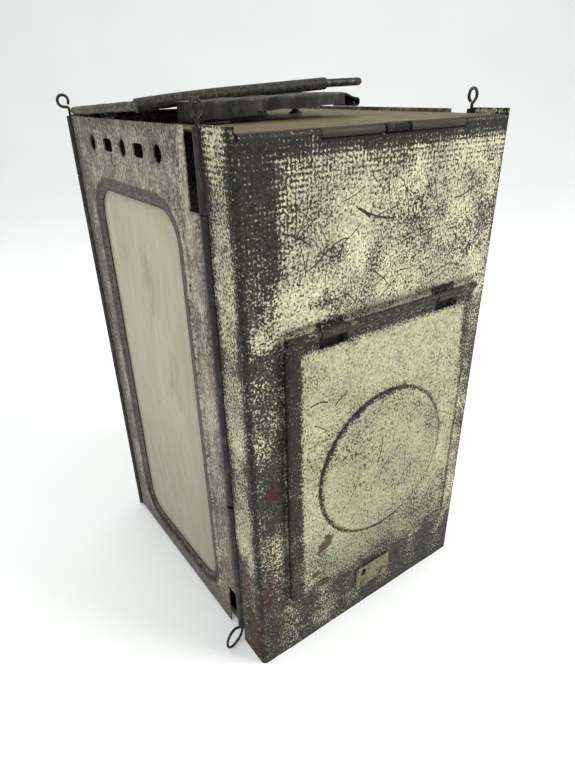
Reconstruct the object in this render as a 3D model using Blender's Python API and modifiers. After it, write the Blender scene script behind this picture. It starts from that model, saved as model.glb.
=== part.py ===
"""Folding railway lantern: a sheet-metal case on wire hinge pins, with a sprung roof, a side door,
a signal flap over a round glass, and a candle inside. Sizes are in millimetres and each mesh is made
in metres. +X runs along the front, +Y into the depth, +Z up, from the centre of the floor's underside."""

import math

import bmesh
import bpy
from mathutils import Matrix, Vector

MM = 0.001
SHEET = 0.6
GAP = 0.35
WELD = 1e-6
INSET = 0.15

# Case
HEIGHT = 220.0
HALF_WIDTH = 61.0
FRONT = -69.0
FRONT_SHEET = FRONT + SHEET / 2
FRONT_PINS = -50.6
REAR_PINS = 68.6
CORNER_RADIUS = 2.0
PANEL_BOTTOM, PANEL_TOP = 1.5, 219.5

# Vertical hinges: the walls own the end knuckles and each side panel owns the middle ones
KNUCKLE = 1.6
BORE = 0.95
PIN = 0.6
LOW_BREAK, MIDDLE_BREAK, HIGH_BREAK = 25.0, 80.0, 195.0
FOOT_KNUCKLE = 7.5
PANEL_FRONT_NOTCH = 10.0
EDGE_RELIEF = KNUCKLE + 0.6

# Roof hinge along the top of the front wall
ROOF_AXIS = Vector((0, FRONT + 1.7, 216.4))
ROOF_KNUCKLE = 1.7
ROOF_GAP = (-30.3, 35.8)
SPRING_GAP = (-3.9, 7.9)
ROOF_TOP = ROOF_AXIS.z + ROOF_KNUCKLE
ROOF_HALF = 58.9
ROOF_FRONT_HALF = 57.2
ROOF_REAR = 66.4
SPRING_TURNS = 9
SPRING_RADIUS = 1.32
SPRING_WIRE = 0.4

# Side windows and vents, as (y, z)
GLASS = (-28.5, 46.0, 17.0, 192.0)
GLASS_CORNER = 12.0
BEAD = 6.5
VENT_Z = 210.1
ROUND_VENTS = (-20.7, 11.1, 43.4)
SLOT_VENTS = (-4.1, 26.2)
VENT_RADIUS = 3.1
SLOT_VENT = (9.0, 4.8)

# Signal flap on the front
FLAP = (-46.5, 50.5, 31.0)
FLAP_AXIS = Vector((0, -71.2, 154.2))
FLAP_KNUCKLE = 1.6
FLAP_STAND = 2.4
FLAP_SKIRT = 1.5
LUGS = ((-32.0, -20.0), (27.0, 39.0))
LUG_SLOT = 4.2
DISC = (3.5, 85.2)
DISC_RADIUS = 34.6
DISC_RISE = 0.9
LENS_RADIUS = 29.0
LENS_HOLE = 26.5

# Catch below the flap
CATCH = (-7.5, 13.6, 12.5, 24.6)
CATCH_AXIS = Vector((3.0, FRONT - 0.75, 12.5))
CATCH_RIVETS = (-3.2, 9.3)

# Vent hood and chimney cap on the roof; both lean up towards the right
LEAN = math.radians(3.1)
HOOD = (-48.0, 16.0, -29.0, -8.2)
HOOD_TOP = 225.4
HOOD_LIP = 2.9
HOOD_APRON = 5.6
HOOD_APRON_END = -26.3
HOOD_CREASES = (-48.0, -37.5, -21.0, -9.5, 16.0)
HOOD_BULGE = 1.6
HOOD_CURL = (21.4, -4.0)
HOOD_CURL_RADIUS = 1.6
CAP = (-60.2, 22.8, -5.2, 65.8)
CAP_PITCH = math.radians(2.2)
HEM_CORNER = Vector((-60.3, -5.2, 225.1))
HEM = 2.0
HEM_BORE = 1.55
CAP_SHEET = -1.8
CAP_SIDE_ROLL = 1.4
HANGER_WIRE = 1.15
HANGER_OUT = 104.0
HANGER_ARM = 46.0
HANGER_GRIP = 62.0
CHIMNEY = (-46.0, 8.0, 14.0, 56.0)
CAP_POSTS = ((-52.0, 60.0), (16.0, 60.0), (16.0, 6.0), (-52.0, 6.0))
HOOD_RIVETS = ((-41.0, -22.0), (-41.0, -13.0))
HOOD_VENTS = (-26.0, -10.0, 6.0)
HOOD_VENT = (10.0, 7.0)

# Candle
PAN_RIM = 6.0
SOCKET_RADIUS = 11.6
CANDLE_RADIUS = 10.0
CANDLE_HEIGHT = 78.0
TRAY_RADIUS = 30.0
CANDLE_PLACE = Vector((0, 4.0, 0))

COLOURS = {
    "tin": ((0.56, 0.54, 0.44), 0.5, 0.6),
    "dark tin": ((0.22, 0.21, 0.19), 0.5, 0.7),
    "roof": ((0.30, 0.24, 0.14), 0.7, 0.4),
    "wire": ((0.10, 0.095, 0.09), 0.45, 0.9),
    "mica": ((0.60, 0.58, 0.46), 0.55, 0.0),
    "glass": ((0.75, 0.80, 0.78), 0.1, 0.0),
    "wax": ((0.85, 0.80, 0.66), 0.6, 0.0),
    "wick": ((0.12, 0.10, 0.08), 0.9, 0.0),
}


def clear_scene():
    for obj in list(bpy.data.objects):
        bpy.data.objects.remove(obj, do_unlink=True)
    for name in ("railway_lantern", "cutters"):
        bpy.context.scene.collection.children.link(bpy.data.collections.new(name))


def mesh_object(name, mesh):
    obj = bpy.data.objects.new(name, mesh)
    bpy.data.collections["railway_lantern"].objects.link(obj)
    return obj


def from_bmesh(name, shape):
    mesh = bpy.data.meshes.new(name)
    bmesh.ops.scale(shape, vec=(MM, MM, MM), verts=shape.verts)
    bmesh.ops.recalc_face_normals(shape, faces=shape.faces)
    shape.to_mesh(mesh)
    shape.free()
    return mesh_object(name, mesh)


def box(low, high, name="box"):
    low, high = Vector(low), Vector(high)
    shape = bmesh.new()
    place = Matrix.Translation((low + high) / 2) @ Matrix.Diagonal((*(high - low), 1))
    bmesh.ops.create_cube(shape, size=1, matrix=place)
    return from_bmesh(name, shape)


def rod(start, end, radius, name="rod", sides=16, end_radius=None):
    """A cylinder or a cone between two points."""
    start, end = Vector(start), Vector(end)
    along = end - start
    shape = bmesh.new()
    place = Matrix.Translation((start + end) / 2) @ along.to_track_quat("Z", "Y").to_matrix().to_4x4()
    bmesh.ops.create_cone(
        shape,
        cap_ends=True,
        segments=sides,
        radius1=radius,
        radius2=radius if end_radius is None else end_radius,
        depth=along.length,
        matrix=place,
    )
    return from_bmesh(name, shape)


def evaluated_mesh(obj):
    bpy.context.view_layer.update()
    graph = bpy.context.evaluated_depsgraph_get()
    return bpy.data.meshes.new_from_object(obj.evaluated_get(graph))


def welded_copy(obj, name):
    """The object's final shape as a plain mesh object, with its caps welded; the original goes."""
    mesh = evaluated_mesh(obj)
    mesh.transform(obj.matrix_world)
    bpy.data.objects.remove(obj, do_unlink=True)
    shape = bmesh.new()
    shape.from_mesh(mesh)
    bmesh.ops.remove_doubles(shape, verts=shape.verts, dist=WELD)
    bmesh.ops.recalc_face_normals(shape, faces=shape.faces)
    shape.to_mesh(mesh)
    shape.free()
    mesh.name = name
    return mesh_object(name, mesh)


def combine(target, tools, operation):
    """Joins tools to target, or cuts them from it, and removes them."""
    for tool in tools:
        modifier = target.modifiers.new(operation.title(), "BOOLEAN")
        modifier.operation = operation
        modifier.object = tool
        mesh = evaluated_mesh(target)
        target.modifiers.clear()
        target.data = mesh
        bpy.data.objects.remove(tool, do_unlink=True)
    return target


def join(target, *tools):
    return combine(target, tools, "UNION")


def cut(target, *tools):
    return combine(target, tools, "DIFFERENCE")


def arc(centre, radius, start, end, steps):
    turn = [math.radians(start + (end - start) * i / steps) for i in range(steps + 1)]
    return [(centre[0] + radius * math.cos(a), centre[1] + radius * math.sin(a)) for a in turn]


def rounded(u0, u1, v0, v1, radius, steps=5):
    """A rectangle's outline with round corners."""
    return (
        arc((u1 - radius, v0 + radius), radius, -90, 0, steps)
        + arc((u1 - radius, v1 - radius), radius, 0, 90, steps)
        + arc((u0 + radius, v1 - radius), radius, 90, 180, steps)
        + arc((u0 + radius, v0 + radius), radius, 180, 270, steps)
    )


PLANES = {
    "side": Matrix(((0, 0, 1), (1, 0, 0), (0, 1, 0))),
    "front": Matrix(((1, 0, 0), (0, 0, -1), (0, 1, 0))),
    "flat": Matrix.Identity(3),
}


def slab(name, outlines, plane, offset, thickness):
    """A flat outline with holes, given as (y, z), (x, z) or (x, y), its middle at offset along the third axis."""
    curve = bpy.data.curves.new(name, "CURVE")
    curve.dimensions = "2D"
    curve.fill_mode = "BOTH"
    curve.extrude = thickness / 2 * MM
    for outline in outlines:
        spline = curve.splines.new("POLY")
        spline.points.add(len(outline) - 1)
        for point, (u, v) in zip(spline.points, outline):
            point.co = (u * MM, v * MM, 0, 1)
        spline.use_cyclic_u = True
    obj = mesh_object(name, curve)
    turn = PLANES[plane]
    third = Vector((turn[0][2], turn[1][2], turn[2][2]))
    along = third * (1 if third.dot(Vector((1, 1, 1))) > 0 else -1)
    obj.matrix_world = Matrix.Translation(along * offset * MM) @ turn.to_4x4()
    return welded_copy(obj, name)


def skin(name, rows):
    """A sheet of SHEET thickness through rows of points."""
    shape = bmesh.new()
    grid = [[shape.verts.new(point) for point in row] for row in rows]
    for this, following in zip(grid, grid[1:]):
        for i in range(len(this) - 1):
            shape.faces.new((this[i], this[i + 1], following[i + 1], following[i]))
    obj = from_bmesh(name, shape)
    solid = obj.modifiers.new("Solidify", "SOLIDIFY")
    solid.thickness = SHEET * MM
    solid.offset = 0
    solid.use_even_offset = True
    return welded_copy(obj, name)


def bent_sheet(name, path, low, high):
    """A vertical sheet that follows a path in plan, given as (x, y)."""
    return skin(name, [[(x, y, z) for x, y in path] for z in (low, high)])


def wire(name, points, radius, resolution=2):
    curve = bpy.data.curves.new(name, "CURVE")
    curve.dimensions = "3D"
    curve.bevel_depth = radius * MM
    curve.bevel_resolution = resolution
    curve.use_fill_caps = True
    spline = curve.splines.new("POLY")
    spline.points.add(len(points) - 1)
    for point, place in zip(spline.points, points):
        point.co = (*(Vector(place) * MM), 1)
    return mesh_object(name, curve)


def finish(obj, name, look, axis=None):
    """Names the node, gives it its own material and, on a moving piece, puts its origin on the axis."""
    obj.name = name
    obj.data.name = name
    colour, roughness, metallic = COLOURS[look]
    material = bpy.data.materials.new(name)
    material.use_nodes = True
    shader = material.node_tree.nodes["Principled BSDF"]
    shader.inputs["Base Color"].default_value = (*colour, 1)
    shader.inputs["Roughness"].default_value = roughness
    shader.inputs["Metallic"].default_value = metallic
    obj.data.materials.clear()
    obj.data.materials.append(material)
    if axis is not None:
        origin = Vector(axis) * MM
        obj.data.transform(Matrix.Translation(-origin))
        obj.location = origin
    if obj.type == "MESH":
        obj.data.shade_smooth()
        obj.data.set_sharp_from_angle(angle=math.radians(35))
    return obj


def upright(x, y, low, high, radius, sides=16):
    return rod((x, y, low), (x, y, high), radius, sides=sides)


# Case walls


def front_wall():
    """A tray with rounded corners, its flanges reaching back to the front pins."""
    inner = HALF_WIDTH - CORNER_RADIUS
    corner_y = FRONT_SHEET + CORNER_RADIUS
    path = [(-HALF_WIDTH, FRONT_PINS - INSET)]
    path += arc((-inner, corner_y), CORNER_RADIUS, 180, 270, 6)
    path += arc((inner, corner_y), CORNER_RADIUS, 270, 360, 6)
    path += [(HALF_WIDTH, FRONT_PINS - INSET)]
    wall = bent_sheet("front_wall", path, 0, HEIGHT)
    cut(wall, box((-59.6, FRONT - 3, ROOF_AXIS.z), (59.6, corner_y - 1, HEIGHT + 3)))
    cut(wall, box((ROOF_GAP[0], FRONT - 3, ROOF_AXIS.z - 1.8), (ROOF_GAP[1], corner_y - 1, HEIGHT)))
    for side in (-1, 1):
        x = side * HALF_WIDTH
        relief = FRONT_PINS - EDGE_RELIEF
        cut(wall, box((x - 2, relief, LOW_BREAK - INSET), (x + 2, FRONT_PINS + 2, HIGH_BREAK + INSET)))
        foot = FOOT_KNUCKLE if side < 0 else PANEL_BOTTOM
        if side < 0:
            cut(wall, box((x - 2, relief, -1), (x + 2, FRONT_PINS + 2, foot + INSET)))
        for low, high in ((foot, LOW_BREAK), (HIGH_BREAK, PANEL_TOP)):
            join(wall, upright(x, FRONT_PINS, low, high, KNUCKLE))
    for low, high in ((-59.3, ROOF_GAP[0]), (ROOF_GAP[1], 59.3)):
        start, end = Vector((low, *ROOF_AXIS.yz)), Vector((high, *ROOF_AXIS.yz))
        join(wall, rod(start, end, ROOF_KNUCKLE))
    for low, high in LUGS:
        start, end = Vector((low, *FLAP_AXIS.yz)), Vector((high, *FLAP_AXIS.yz))
        web = box((low, FLAP_AXIS.y, FLAP_AXIS.z - 0.9), (high, FRONT + 0.3, FLAP_AXIS.z - 0.3))
        join(wall, join(rod(start, end, FLAP_KNUCKLE), web))
    bores = [upright(side * HALF_WIDTH, FRONT_PINS, -5, HEIGHT + 5, BORE, 10) for side in (-1, 1)]
    bores += [rod((-70, *axis.yz), (70, *axis.yz), BORE, sides=10) for axis in (ROOF_AXIS, FLAP_AXIS)]
    bores += [rod((DISC[0], FRONT - 1, DISC[1]), (DISC[0], FRONT + 2, DISC[1]), LENS_HOLE, sides=40)]
    bores += [
        rod((x, FRONT - 1, CATCH_AXIS.z + 2.5), (x, FRONT + 2, CATCH_AXIS.z + 2.5), 1.0, sides=10)
        for x in CATCH_RIVETS
    ]
    cut(wall, *bores)
    finish(wall, "front_wall", "tin")


def rear_wall():
    """A flat sheet between the rear pins, with a ledge along its top that the roof rests on."""
    edge, relief = HALF_WIDTH - INSET, HALF_WIDTH - EDGE_RELIEF
    wall = box((-edge, REAR_PINS - SHEET / 2, 0), (edge, REAR_PINS + SHEET / 2, HEIGHT))
    for x0, x1 in ((-edge - 2, -relief), (relief, edge + 2)):
        cut(wall, box((x0, REAR_PINS - 2, LOW_BREAK - INSET), (x1, REAR_PINS + 2, HIGH_BREAK + INSET)))
    ledge_top = ROOF_TOP - SHEET - GAP
    join(wall, box((-50, REAR_PINS - 4.5, ledge_top - SHEET), (50, REAR_PINS, ledge_top)))
    for side in (-1, 1):
        for low, high in ((PANEL_BOTTOM, LOW_BREAK), (HIGH_BREAK, PANEL_TOP)):
            join(wall, upright(side * HALF_WIDTH, REAR_PINS, low, high, KNUCKLE))
    cut(wall, *[upright(side * HALF_WIDTH, REAR_PINS, -5, HEIGHT + 5, BORE, 10) for side in (-1, 1)])
    finish(wall, "rear_wall", "tin")


def mirrored(obj, side):
    """Turns a piece built on the left into its right-hand twin where side is +1."""
    if side > 0:
        obj.data.transform(Matrix.Diagonal((-1, 1, 1, 1)))
        obj.data.flip_normals()
    return obj


def side_panel(name, side):
    """side is -1 on the left and +1 on the right."""
    x = -HALF_WIDTH
    y0, y1, z0, z1 = GLASS
    holes = [rounded(y0, y1, z0, z1, GLASS_CORNER)]
    holes += [arc((y, VENT_Z), VENT_RADIUS, 0, 330, 11) for y in ROUND_VENTS]
    half_width, half_height = SLOT_VENT[0] / 2, SLOT_VENT[1] / 2
    for y in SLOT_VENTS:
        holes.append(rounded(y - half_width, y + half_width, VENT_Z - half_height, VENT_Z + half_height, 1.5, 3))
    front, rear = FRONT_PINS + INSET, REAR_PINS - INSET
    corners = [(front, PANEL_BOTTOM), (rear, PANEL_BOTTOM), (rear, PANEL_TOP), (front, PANEL_TOP)]
    panel = slab(name, [corners] + holes, "side", x, SHEET)
    front_cut = (FRONT_PINS - 2, FRONT_PINS + PANEL_FRONT_NOTCH)
    rear_cut = (REAR_PINS - EDGE_RELIEF, REAR_PINS + 2)
    for low, high in ((-2, LOW_BREAK + GAP + INSET), (HIGH_BREAK - GAP - INSET, HEIGHT + 2)):
        for start, end in (front_cut, rear_cut):
            cut(panel, box((x - 2, start, low), (x + 2, end, high)))
    bead = [
        rounded(y0 - BEAD, y1 + BEAD, z0 - BEAD, z1 + BEAD, GLASS_CORNER + BEAD),
        rounded(y0 - 2, y1 + 2, z0 - 2, z1 + 2, GLASS_CORNER + 2),
    ]
    join(panel, slab("bead", bead, "side", x - 0.6, 0.8))
    for y in (FRONT_PINS, REAR_PINS):
        for low, high in ((LOW_BREAK + GAP, MIDDLE_BREAK - 0.6), (MIDDLE_BREAK + 0.6, HIGH_BREAK - GAP)):
            join(panel, upright(x, y, low, high, KNUCKLE))
    cut(panel, *[upright(x, y, -5, HEIGHT + 5, BORE, 10) for y in (FRONT_PINS, REAR_PINS)])
    finish(mirrored(panel, side), name, "dark tin", (side * HALF_WIDTH, REAR_PINS, 0))


def side_window(side):
    """The mica sheet behind a side panel and the frame that holds it."""
    word = "left" if side < 0 else "right"
    y0, y1, z0, z1 = GLASS
    axis = (side * HALF_WIDTH, REAR_PINS, 0)
    mica_x = side * (HALF_WIDTH - SHEET / 2 - GAP - 0.2)
    mica = slab("mica", [rounded(y0 - 4, y1 + 4, z0 - 4, z1 + 4, GLASS_CORNER)], "side", mica_x, 0.4)
    finish(mica, word + "_mica", "mica", axis)
    frame_x = side * (HALF_WIDTH - SHEET / 2 - GAP * 2 - 0.4 - 0.25)
    rings = [rounded(y0 - 6, y1 + 6, z0 - 6, z1 + 6, GLASS_CORNER + 2), rounded(y0, y1, z0, z1, GLASS_CORNER)]
    finish(slab("frame", rings, "side", frame_x, 0.5), word + "_mica_frame", "dark tin", axis)


def floor_pan():
    """A shallow tray between the walls, its underside at the origin."""
    half, front, rear = HALF_WIDTH - 2.6, FRONT + SHEET + GAP, REAR_PINS - 2.2
    pan = box((-half, front, 0), (half, rear, PAN_RIM))
    cut(pan, box((-half + SHEET, front + SHEET, SHEET), (half - SHEET, rear - SHEET, PAN_RIM + 2)))
    finish(pan, "floor_pan", "dark tin")


# Hinge pins, each with an eye bent in its end


def eye(foot, radius, azimuth, lean=0.0, down=False):
    """A wire eye above a vertical stem that ends at foot, in the vertical plane at azimuth (degrees from +X).

    lean tilts the eye outwards in that plane, and down hangs it below the stem instead."""
    neck = radius * 1.15 + 1.1
    local = [(0, -neck), (0, -neck + 0.7), (0.15 * radius, -1.18 * radius), (0.45 * radius, -0.95 * radius)]
    local += arc((0, 0), radius, -50, 225, 11)
    turned = []
    for u, v in local:
        v += neck
        u, v = u * math.cos(lean) + v * math.sin(lean), v * math.cos(lean) - u * math.sin(lean)
        turned.append((u, -v if down else v))
    a = math.radians(azimuth)
    return [Vector(foot) + Vector((u * math.cos(a), u * math.sin(a), v)) for u, v in turned]


def upright_pin(name, x, y, low, azimuth, lean=0.0):
    top = Vector((x, y, HEIGHT + 0.5))
    points = [Vector((x, y, low))] + eye(top, 2.4, azimuth, lean)
    finish(wire(name, points, PIN), name, "wire", (x, y, low))


def hinge_pins():
    x = HALF_WIDTH
    upright_pin("front_left_top_pin", -x, FRONT_PINS, HIGH_BREAK + 0.5, 20)
    upright_pin("front_right_pin", x, FRONT_PINS, 1.0, 0)
    upright_pin("rear_left_pin", -x, REAR_PINS, 1.0, 180, math.radians(28))
    upright_pin("rear_right_pin", x, REAR_PINS, 1.0, 90)
    out = Vector((-0.94, -0.34, 0))
    axis = Vector((-x, FRONT_PINS, 0))
    points = [axis + Vector((0, 0, z)) for z in (LOW_BREAK - 0.5, FOOT_KNUCKLE - 1.9)]
    points += [axis + out * u + Vector((0, 0, z)) for u, z in ((0.5, 4.0), (1.5, 2.7), (2.8, 1.9))]
    points += [axis + out * u + Vector((0, 0, z)) for u, z in arc((6.2, 6.0), 4.6, 250, 500, 12)]
    finish(wire("front_left_bottom_pin", points, PIN), "front_left_bottom_pin", "wire", axis)
    pin = rod((-59.3, *ROOF_AXIS.yz), (59.3, *ROOF_AXIS.yz), PIN, sides=10)
    finish(pin, "roof_hinge_pin", "wire")
    pin = rod((FLAP[0], *FLAP_AXIS.yz), (FLAP[1], *FLAP_AXIS.yz), PIN, sides=10)
    finish(pin, "flap_hinge_pin", "wire")


def roof_spring():
    """A torsion coil on the roof's hinge pin, with one leg down the inside of the front wall."""
    start, end = SPRING_GAP[0] + 0.9, SPRING_GAP[1] - 0.9
    steps = 10
    points = []
    for i in range(SPRING_TURNS * steps + 1):
        turn = math.tau * i / steps
        x = start + (end - start) * i / (SPRING_TURNS * steps)
        across = Vector((0, math.cos(turn), math.sin(turn))) * SPRING_RADIUS
        points.append(Vector((x, *ROOF_AXIS.yz)) + across)
    foot = points[0] + Vector((0, 0.15, -9))
    points = [foot, points[0] - Vector((0, 0, 1.2))] + points
    finish(wire("roof_spring", points, SPRING_WIRE, 1), "roof_spring", "wire")


# Flap, glass and catch on the front wall


def flap():
    x0, x1, z0 = FLAP
    outer = FRONT - FLAP_STAND
    plate = slab("flap", [rounded(x0, x1, z0, FLAP_AXIS.z, 3.0)], "front", outer + SHEET / 2, SHEET)
    depth = FLAP_SKIRT
    ring = slab(
        "skirt",
        [
            rounded(x0, x1, z0, FLAP_AXIS.z - 3, 3.0),
            rounded(x0 + SHEET, x1 - SHEET, z0 + SHEET, FLAP_AXIS.z + 5, 2.4),
        ],
        "front",
        outer + SHEET / 2 + depth / 2,
        depth,
    )
    cut(ring, box((x0 - 1, outer - 1, FLAP_AXIS.z - 5), (x1 + 1, FRONT, FLAP_AXIS.z + 9)))
    disc_start = Vector((DISC[0], outer - DISC_RISE, DISC[1]))
    disc_end = Vector((DISC[0], outer + SHEET / 2, DISC[1]))
    disc = rod(disc_start, disc_end, DISC_RADIUS - 1.4, sides=40, end_radius=DISC_RADIUS)
    tube = rod((x0 + 1, *FLAP_AXIS.yz), (x1 - 1, *FLAP_AXIS.yz), FLAP_KNUCKLE)
    join(plate, ring, disc, tube)
    for low, high in LUGS:
        top = FLAP_AXIS.z + FLAP_KNUCKLE + 1
        bottom = FLAP_AXIS.z - FLAP_KNUCKLE - LUG_SLOT
        cut(plate, box((low - GAP, outer - 3, bottom), (high + GAP, FRONT + 1, top)))
    cut(plate, rod((-70, *FLAP_AXIS.yz), (70, *FLAP_AXIS.yz), BORE, sides=10))
    finish(plate, "flap", "tin", FLAP_AXIS)


def signal_glass():
    x, z = DISC
    inner = FRONT + SHEET + GAP
    glass = rod((x, inner, z), (x, inner + 2, z), LENS_RADIUS, sides=40)
    finish(glass, "signal_glass", "glass")
    ring = rod((x, inner, z), (x, inner + 3.2, z), LENS_RADIUS + 3, sides=40)
    seat = rod((x, inner - 1, z), (x, inner + 2 + GAP, z), LENS_RADIUS + GAP, sides=40)
    mouth = rod((x, inner - 1, z), (x, inner + 5, z), LENS_RADIUS - 3, sides=40)
    finish(cut(ring, seat, mouth), "glass_retainer", "dark tin")


def flap_catch():
    x0, x1, z0, z1 = CATCH
    outer, back = FRONT - 1.1, FRONT - 0.4
    outline = rounded(x0, x1, z0, z1, 1.0, 2)
    tongue = slab("flap_catch", [outline], "front", (outer + back) / 2, back - outer)
    cut(tongue, rod((-3.2, outer - 1, 21.6), (-3.2, back + 1, 21.6), 1.5, sides=12))
    join(tongue, rod((0.6, outer - 0.9, 22.4), (0.6, back - 0.2, 22.4), 0.7, sides=12, end_radius=1.3))
    for x in CATCH_RIVETS:
        cut(tongue, rod((x, outer - 1, z0 + 2.5), (x, back + 1, z0 + 2.5), 1.35, sides=12))
    finish(tongue, "flap_catch", "tin", CATCH_AXIS)
    for word, x in zip(("left", "right"), CATCH_RIVETS):
        head = rod((x, outer - 1.3, z0 + 2.5), (x, outer - GAP, z0 + 2.5), 1.0, sides=12, end_radius=1.8)
        shank = rod((x, outer - 0.5, z0 + 2.5), (x, FRONT + 1.2, z0 + 2.5), 0.7, sides=12)
        finish(join(head, shank), "catch_rivet_" + word, "wire")


# Roof


def roof_plate():
    front = ROOF_AXIS.y + ROOF_KNUCKLE + 0.5
    outline = [(-ROOF_HALF, front), (ROOF_HALF, front), (ROOF_HALF, ROOF_REAR), (-ROOF_HALF, ROOF_REAR)]
    x0, x1, y0, y1 = CHIMNEY
    holes = [rounded(x0, x1, y0, y1, 6)]
    half_width, half_depth, y = HOOD_VENT[0] / 2, HOOD_VENT[1] / 2, (HOOD[2] + HOOD[3]) / 2
    holes += [rounded(x - half_width, x + half_width, y - half_depth, y + half_depth, 2, 3) for x in HOOD_VENTS]
    plate = slab("roof_plate", [outline] + holes, "flat", ROOF_TOP - SHEET / 2, SHEET)
    for x0, x1 in ((-ROOF_HALF - 2, -ROOF_FRONT_HALF), (ROOF_FRONT_HALF, ROOF_HALF + 2)):
        cut(plate, box((x0, front - 2, ROOF_TOP - 3), (x1, FRONT_PINS + 9, ROOF_TOP + 3)))
    for low, high in ((ROOF_GAP[0], SPRING_GAP[0]), (SPRING_GAP[1], ROOF_GAP[1])):
        low, high = low + GAP, high - GAP
        tab = box((low, ROOF_AXIS.y, ROOF_TOP - SHEET), (high, front + 1, ROOF_TOP - 0.02))
        tube = rod((low, *ROOF_AXIS.yz), (high, *ROOF_AXIS.yz), ROOF_KNUCKLE)
        join(plate, join(tube, tab))
    cut(plate, rod((-70, *ROOF_AXIS.yz), (70, *ROOF_AXIS.yz), BORE, sides=10))
    finish(plate, "roof_plate", "roof", ROOF_AXIS)


def vent_hood():
    """A raised shelf with a bulged front lip, deep at its left, a leg down to the roof and a rolled right end."""
    x0, x1, y0, y1 = HOOD
    path = []
    for start, end in zip(HOOD_CREASES, HOOD_CREASES[1:]):
        bulge = [math.sin(math.pi * i / 6) for i in range(7)]
        spread = [start + 1 + (end - start - 2) * i / 6 for i in range(7)]
        path += [(x, y0 + HOOD_BULGE * (1 - rise)) for x, rise in zip(spread, bulge)]
    lip = bent_sheet("lip", path, HOOD_TOP - HOOD_APRON, HOOD_TOP - 0.05)
    shallow = (HOOD_APRON_END, y0 - 1, HOOD_TOP - HOOD_APRON - 1)
    cut(lip, box(shallow, (x1 + 1, y0 + 4, HOOD_TOP - HOOD_LIP)))
    level = HOOD_TOP - SHEET / 2
    top = skin("vent_hood", [[(x, y, level) for x, y in path], [(x, y1, level) for x, y in path]])
    near, far = y0 + 2.3, y0 + 15.7
    curl_x, curl_z = HOOD_CURL[0], HOOD_TOP + HOOD_CURL[1]
    curl = rod((curl_x, near - 0.3, curl_z), (curl_x, far + 0.3, curl_z), HOOD_CURL_RADIUS, sides=12)
    bend = [(x1 - 4, -0.8), (x1 - 0.5, -0.8), (x1 + 1.4, -1.4), (x1 + 3.2, -2.6), (curl_x, HOOD_CURL[1] + 0.6)]
    strap = skin("strap", [[(x, y, HOOD_TOP + z) for x, z in bend] for y in (near, far)])
    join(top, lip, strap, curl)
    lean(top, Vector((x0, y0, HOOD_TOP)), LEAN * 0.45)
    leg = box((x0 + 1, y0 + 2.6, ROOF_TOP + GAP), (x0 + 1 + SHEET, y1 - 1, HOOD_TOP - 0.2))
    foot = box((x0 + 1, y0 + 2.6, ROOF_TOP + GAP), (x0 + 12, y1 - 1, ROOF_TOP + GAP + SHEET))
    join(top, leg, foot)
    for x, y in HOOD_RIVETS:
        cut(top, rod((x, y, ROOF_TOP), (x, y, ROOF_TOP + 2), 1.1, sides=10))
    finish(top, "vent_hood", "dark tin", ROOF_AXIS)
    for word, (x, y) in zip(("front", "rear"), HOOD_RIVETS):
        low = ROOF_TOP + GAP
        head = rod((x, y, low + SHEET + GAP), (x, y, low + SHEET + 1.3), 1.8, sides=12, end_radius=1.0)
        shank = rod((x, y, low), (x, y, low + SHEET + 0.8), 0.7, sides=10)
        finish(join(head, shank), f"hood_rivet_{word}", "wire", ROOF_AXIS)


def lean(obj, pivot, angle):
    """Tips the object up towards +X about pivot."""
    pivot = pivot * MM
    turn = Matrix.Rotation(-angle, 4, "Y")
    obj.data.transform(Matrix.Translation(pivot) @ turn @ Matrix.Translation(-pivot))


def cap_frame():
    """The chimney cap's own frame: u along the hem, v back across the cap, from the hem's left end."""
    along = Vector((math.cos(LEAN), 0, math.sin(LEAN)))
    back = Vector((0, math.cos(CAP_PITCH), -math.sin(CAP_PITCH)))
    back = (back - along * back.dot(along)).normalized()
    frame = Matrix((along, back, along.cross(back))).transposed().to_4x4()
    frame.translation = HEM_CORNER
    return frame


def place_cap(obj):
    frame = cap_frame()
    frame.translation = frame.translation * MM
    obj.data.transform(frame)
    return obj


def chimney_cap():
    """A cover over the chimney opening. Its left edge is rolled, and its front hem carries the hanger."""
    width, depth = CAP[1] - CAP[0], CAP[3] - CAP[2]
    low = CAP_SHEET
    sheet = box((0, 0, low), (width, depth, low + SHEET))
    side_level = low + SHEET / 2 + 0.5
    side_roll = rod((0, 1, side_level), (0, depth, side_level), CAP_SIDE_ROLL, sides=16)
    join(sheet, side_roll, rod((0, 0, 0), (width, 0, 0), HEM))
    cut(sheet, rod((-5, 0, 0), (width + 5, 0, 0), HEM_BORE, sides=12))
    place_cap(sheet)
    finish(sheet, "chimney_cap", "dark tin", ROOF_AXIS)


def cap_underside(x, y):
    """The height of the cap's underside over a point of the roof."""
    frame = cap_frame()
    normal = frame.to_3x3() @ Vector((0, 0, 1))
    base = frame @ Vector((0, 0, CAP_SHEET))
    return base.z - (normal.x * (x - base.x) + normal.y * (y - base.y)) / normal.z


def cap_posts():
    for number, (x, y) in enumerate(CAP_POSTS, 1):
        low, high = ROOF_TOP + GAP, cap_underside(x, y) - 0.45
        post = rod((x, y, low), (x, y, high), 1.5, sides=12)
        if high - low > 2.5:
            join(post, rod((x, y, low), (x, y, low + 0.9), 3.0, sides=16))
        finish(post, f"cap_post_{number}", "wire", ROOF_AXIS)


def hanger():
    """A wire crank that turns in the cap's hem and lies back over the cap."""
    bend = 4.0
    plan = [(3, 0)]
    plan += arc((HANGER_OUT - bend, bend), bend, 270, 360, 4)
    plan += arc((HANGER_OUT - bend, HANGER_ARM - bend), bend, 0, 90, 4)
    plan += [(HANGER_OUT - HANGER_GRIP, HANGER_ARM)]
    points = [cap_frame() @ Vector((u, v, 0)) for u, v in plan]
    finish(wire("hanger", points, HANGER_WIRE), "hanger", "wire", HEM_CORNER)


# Candle


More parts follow.
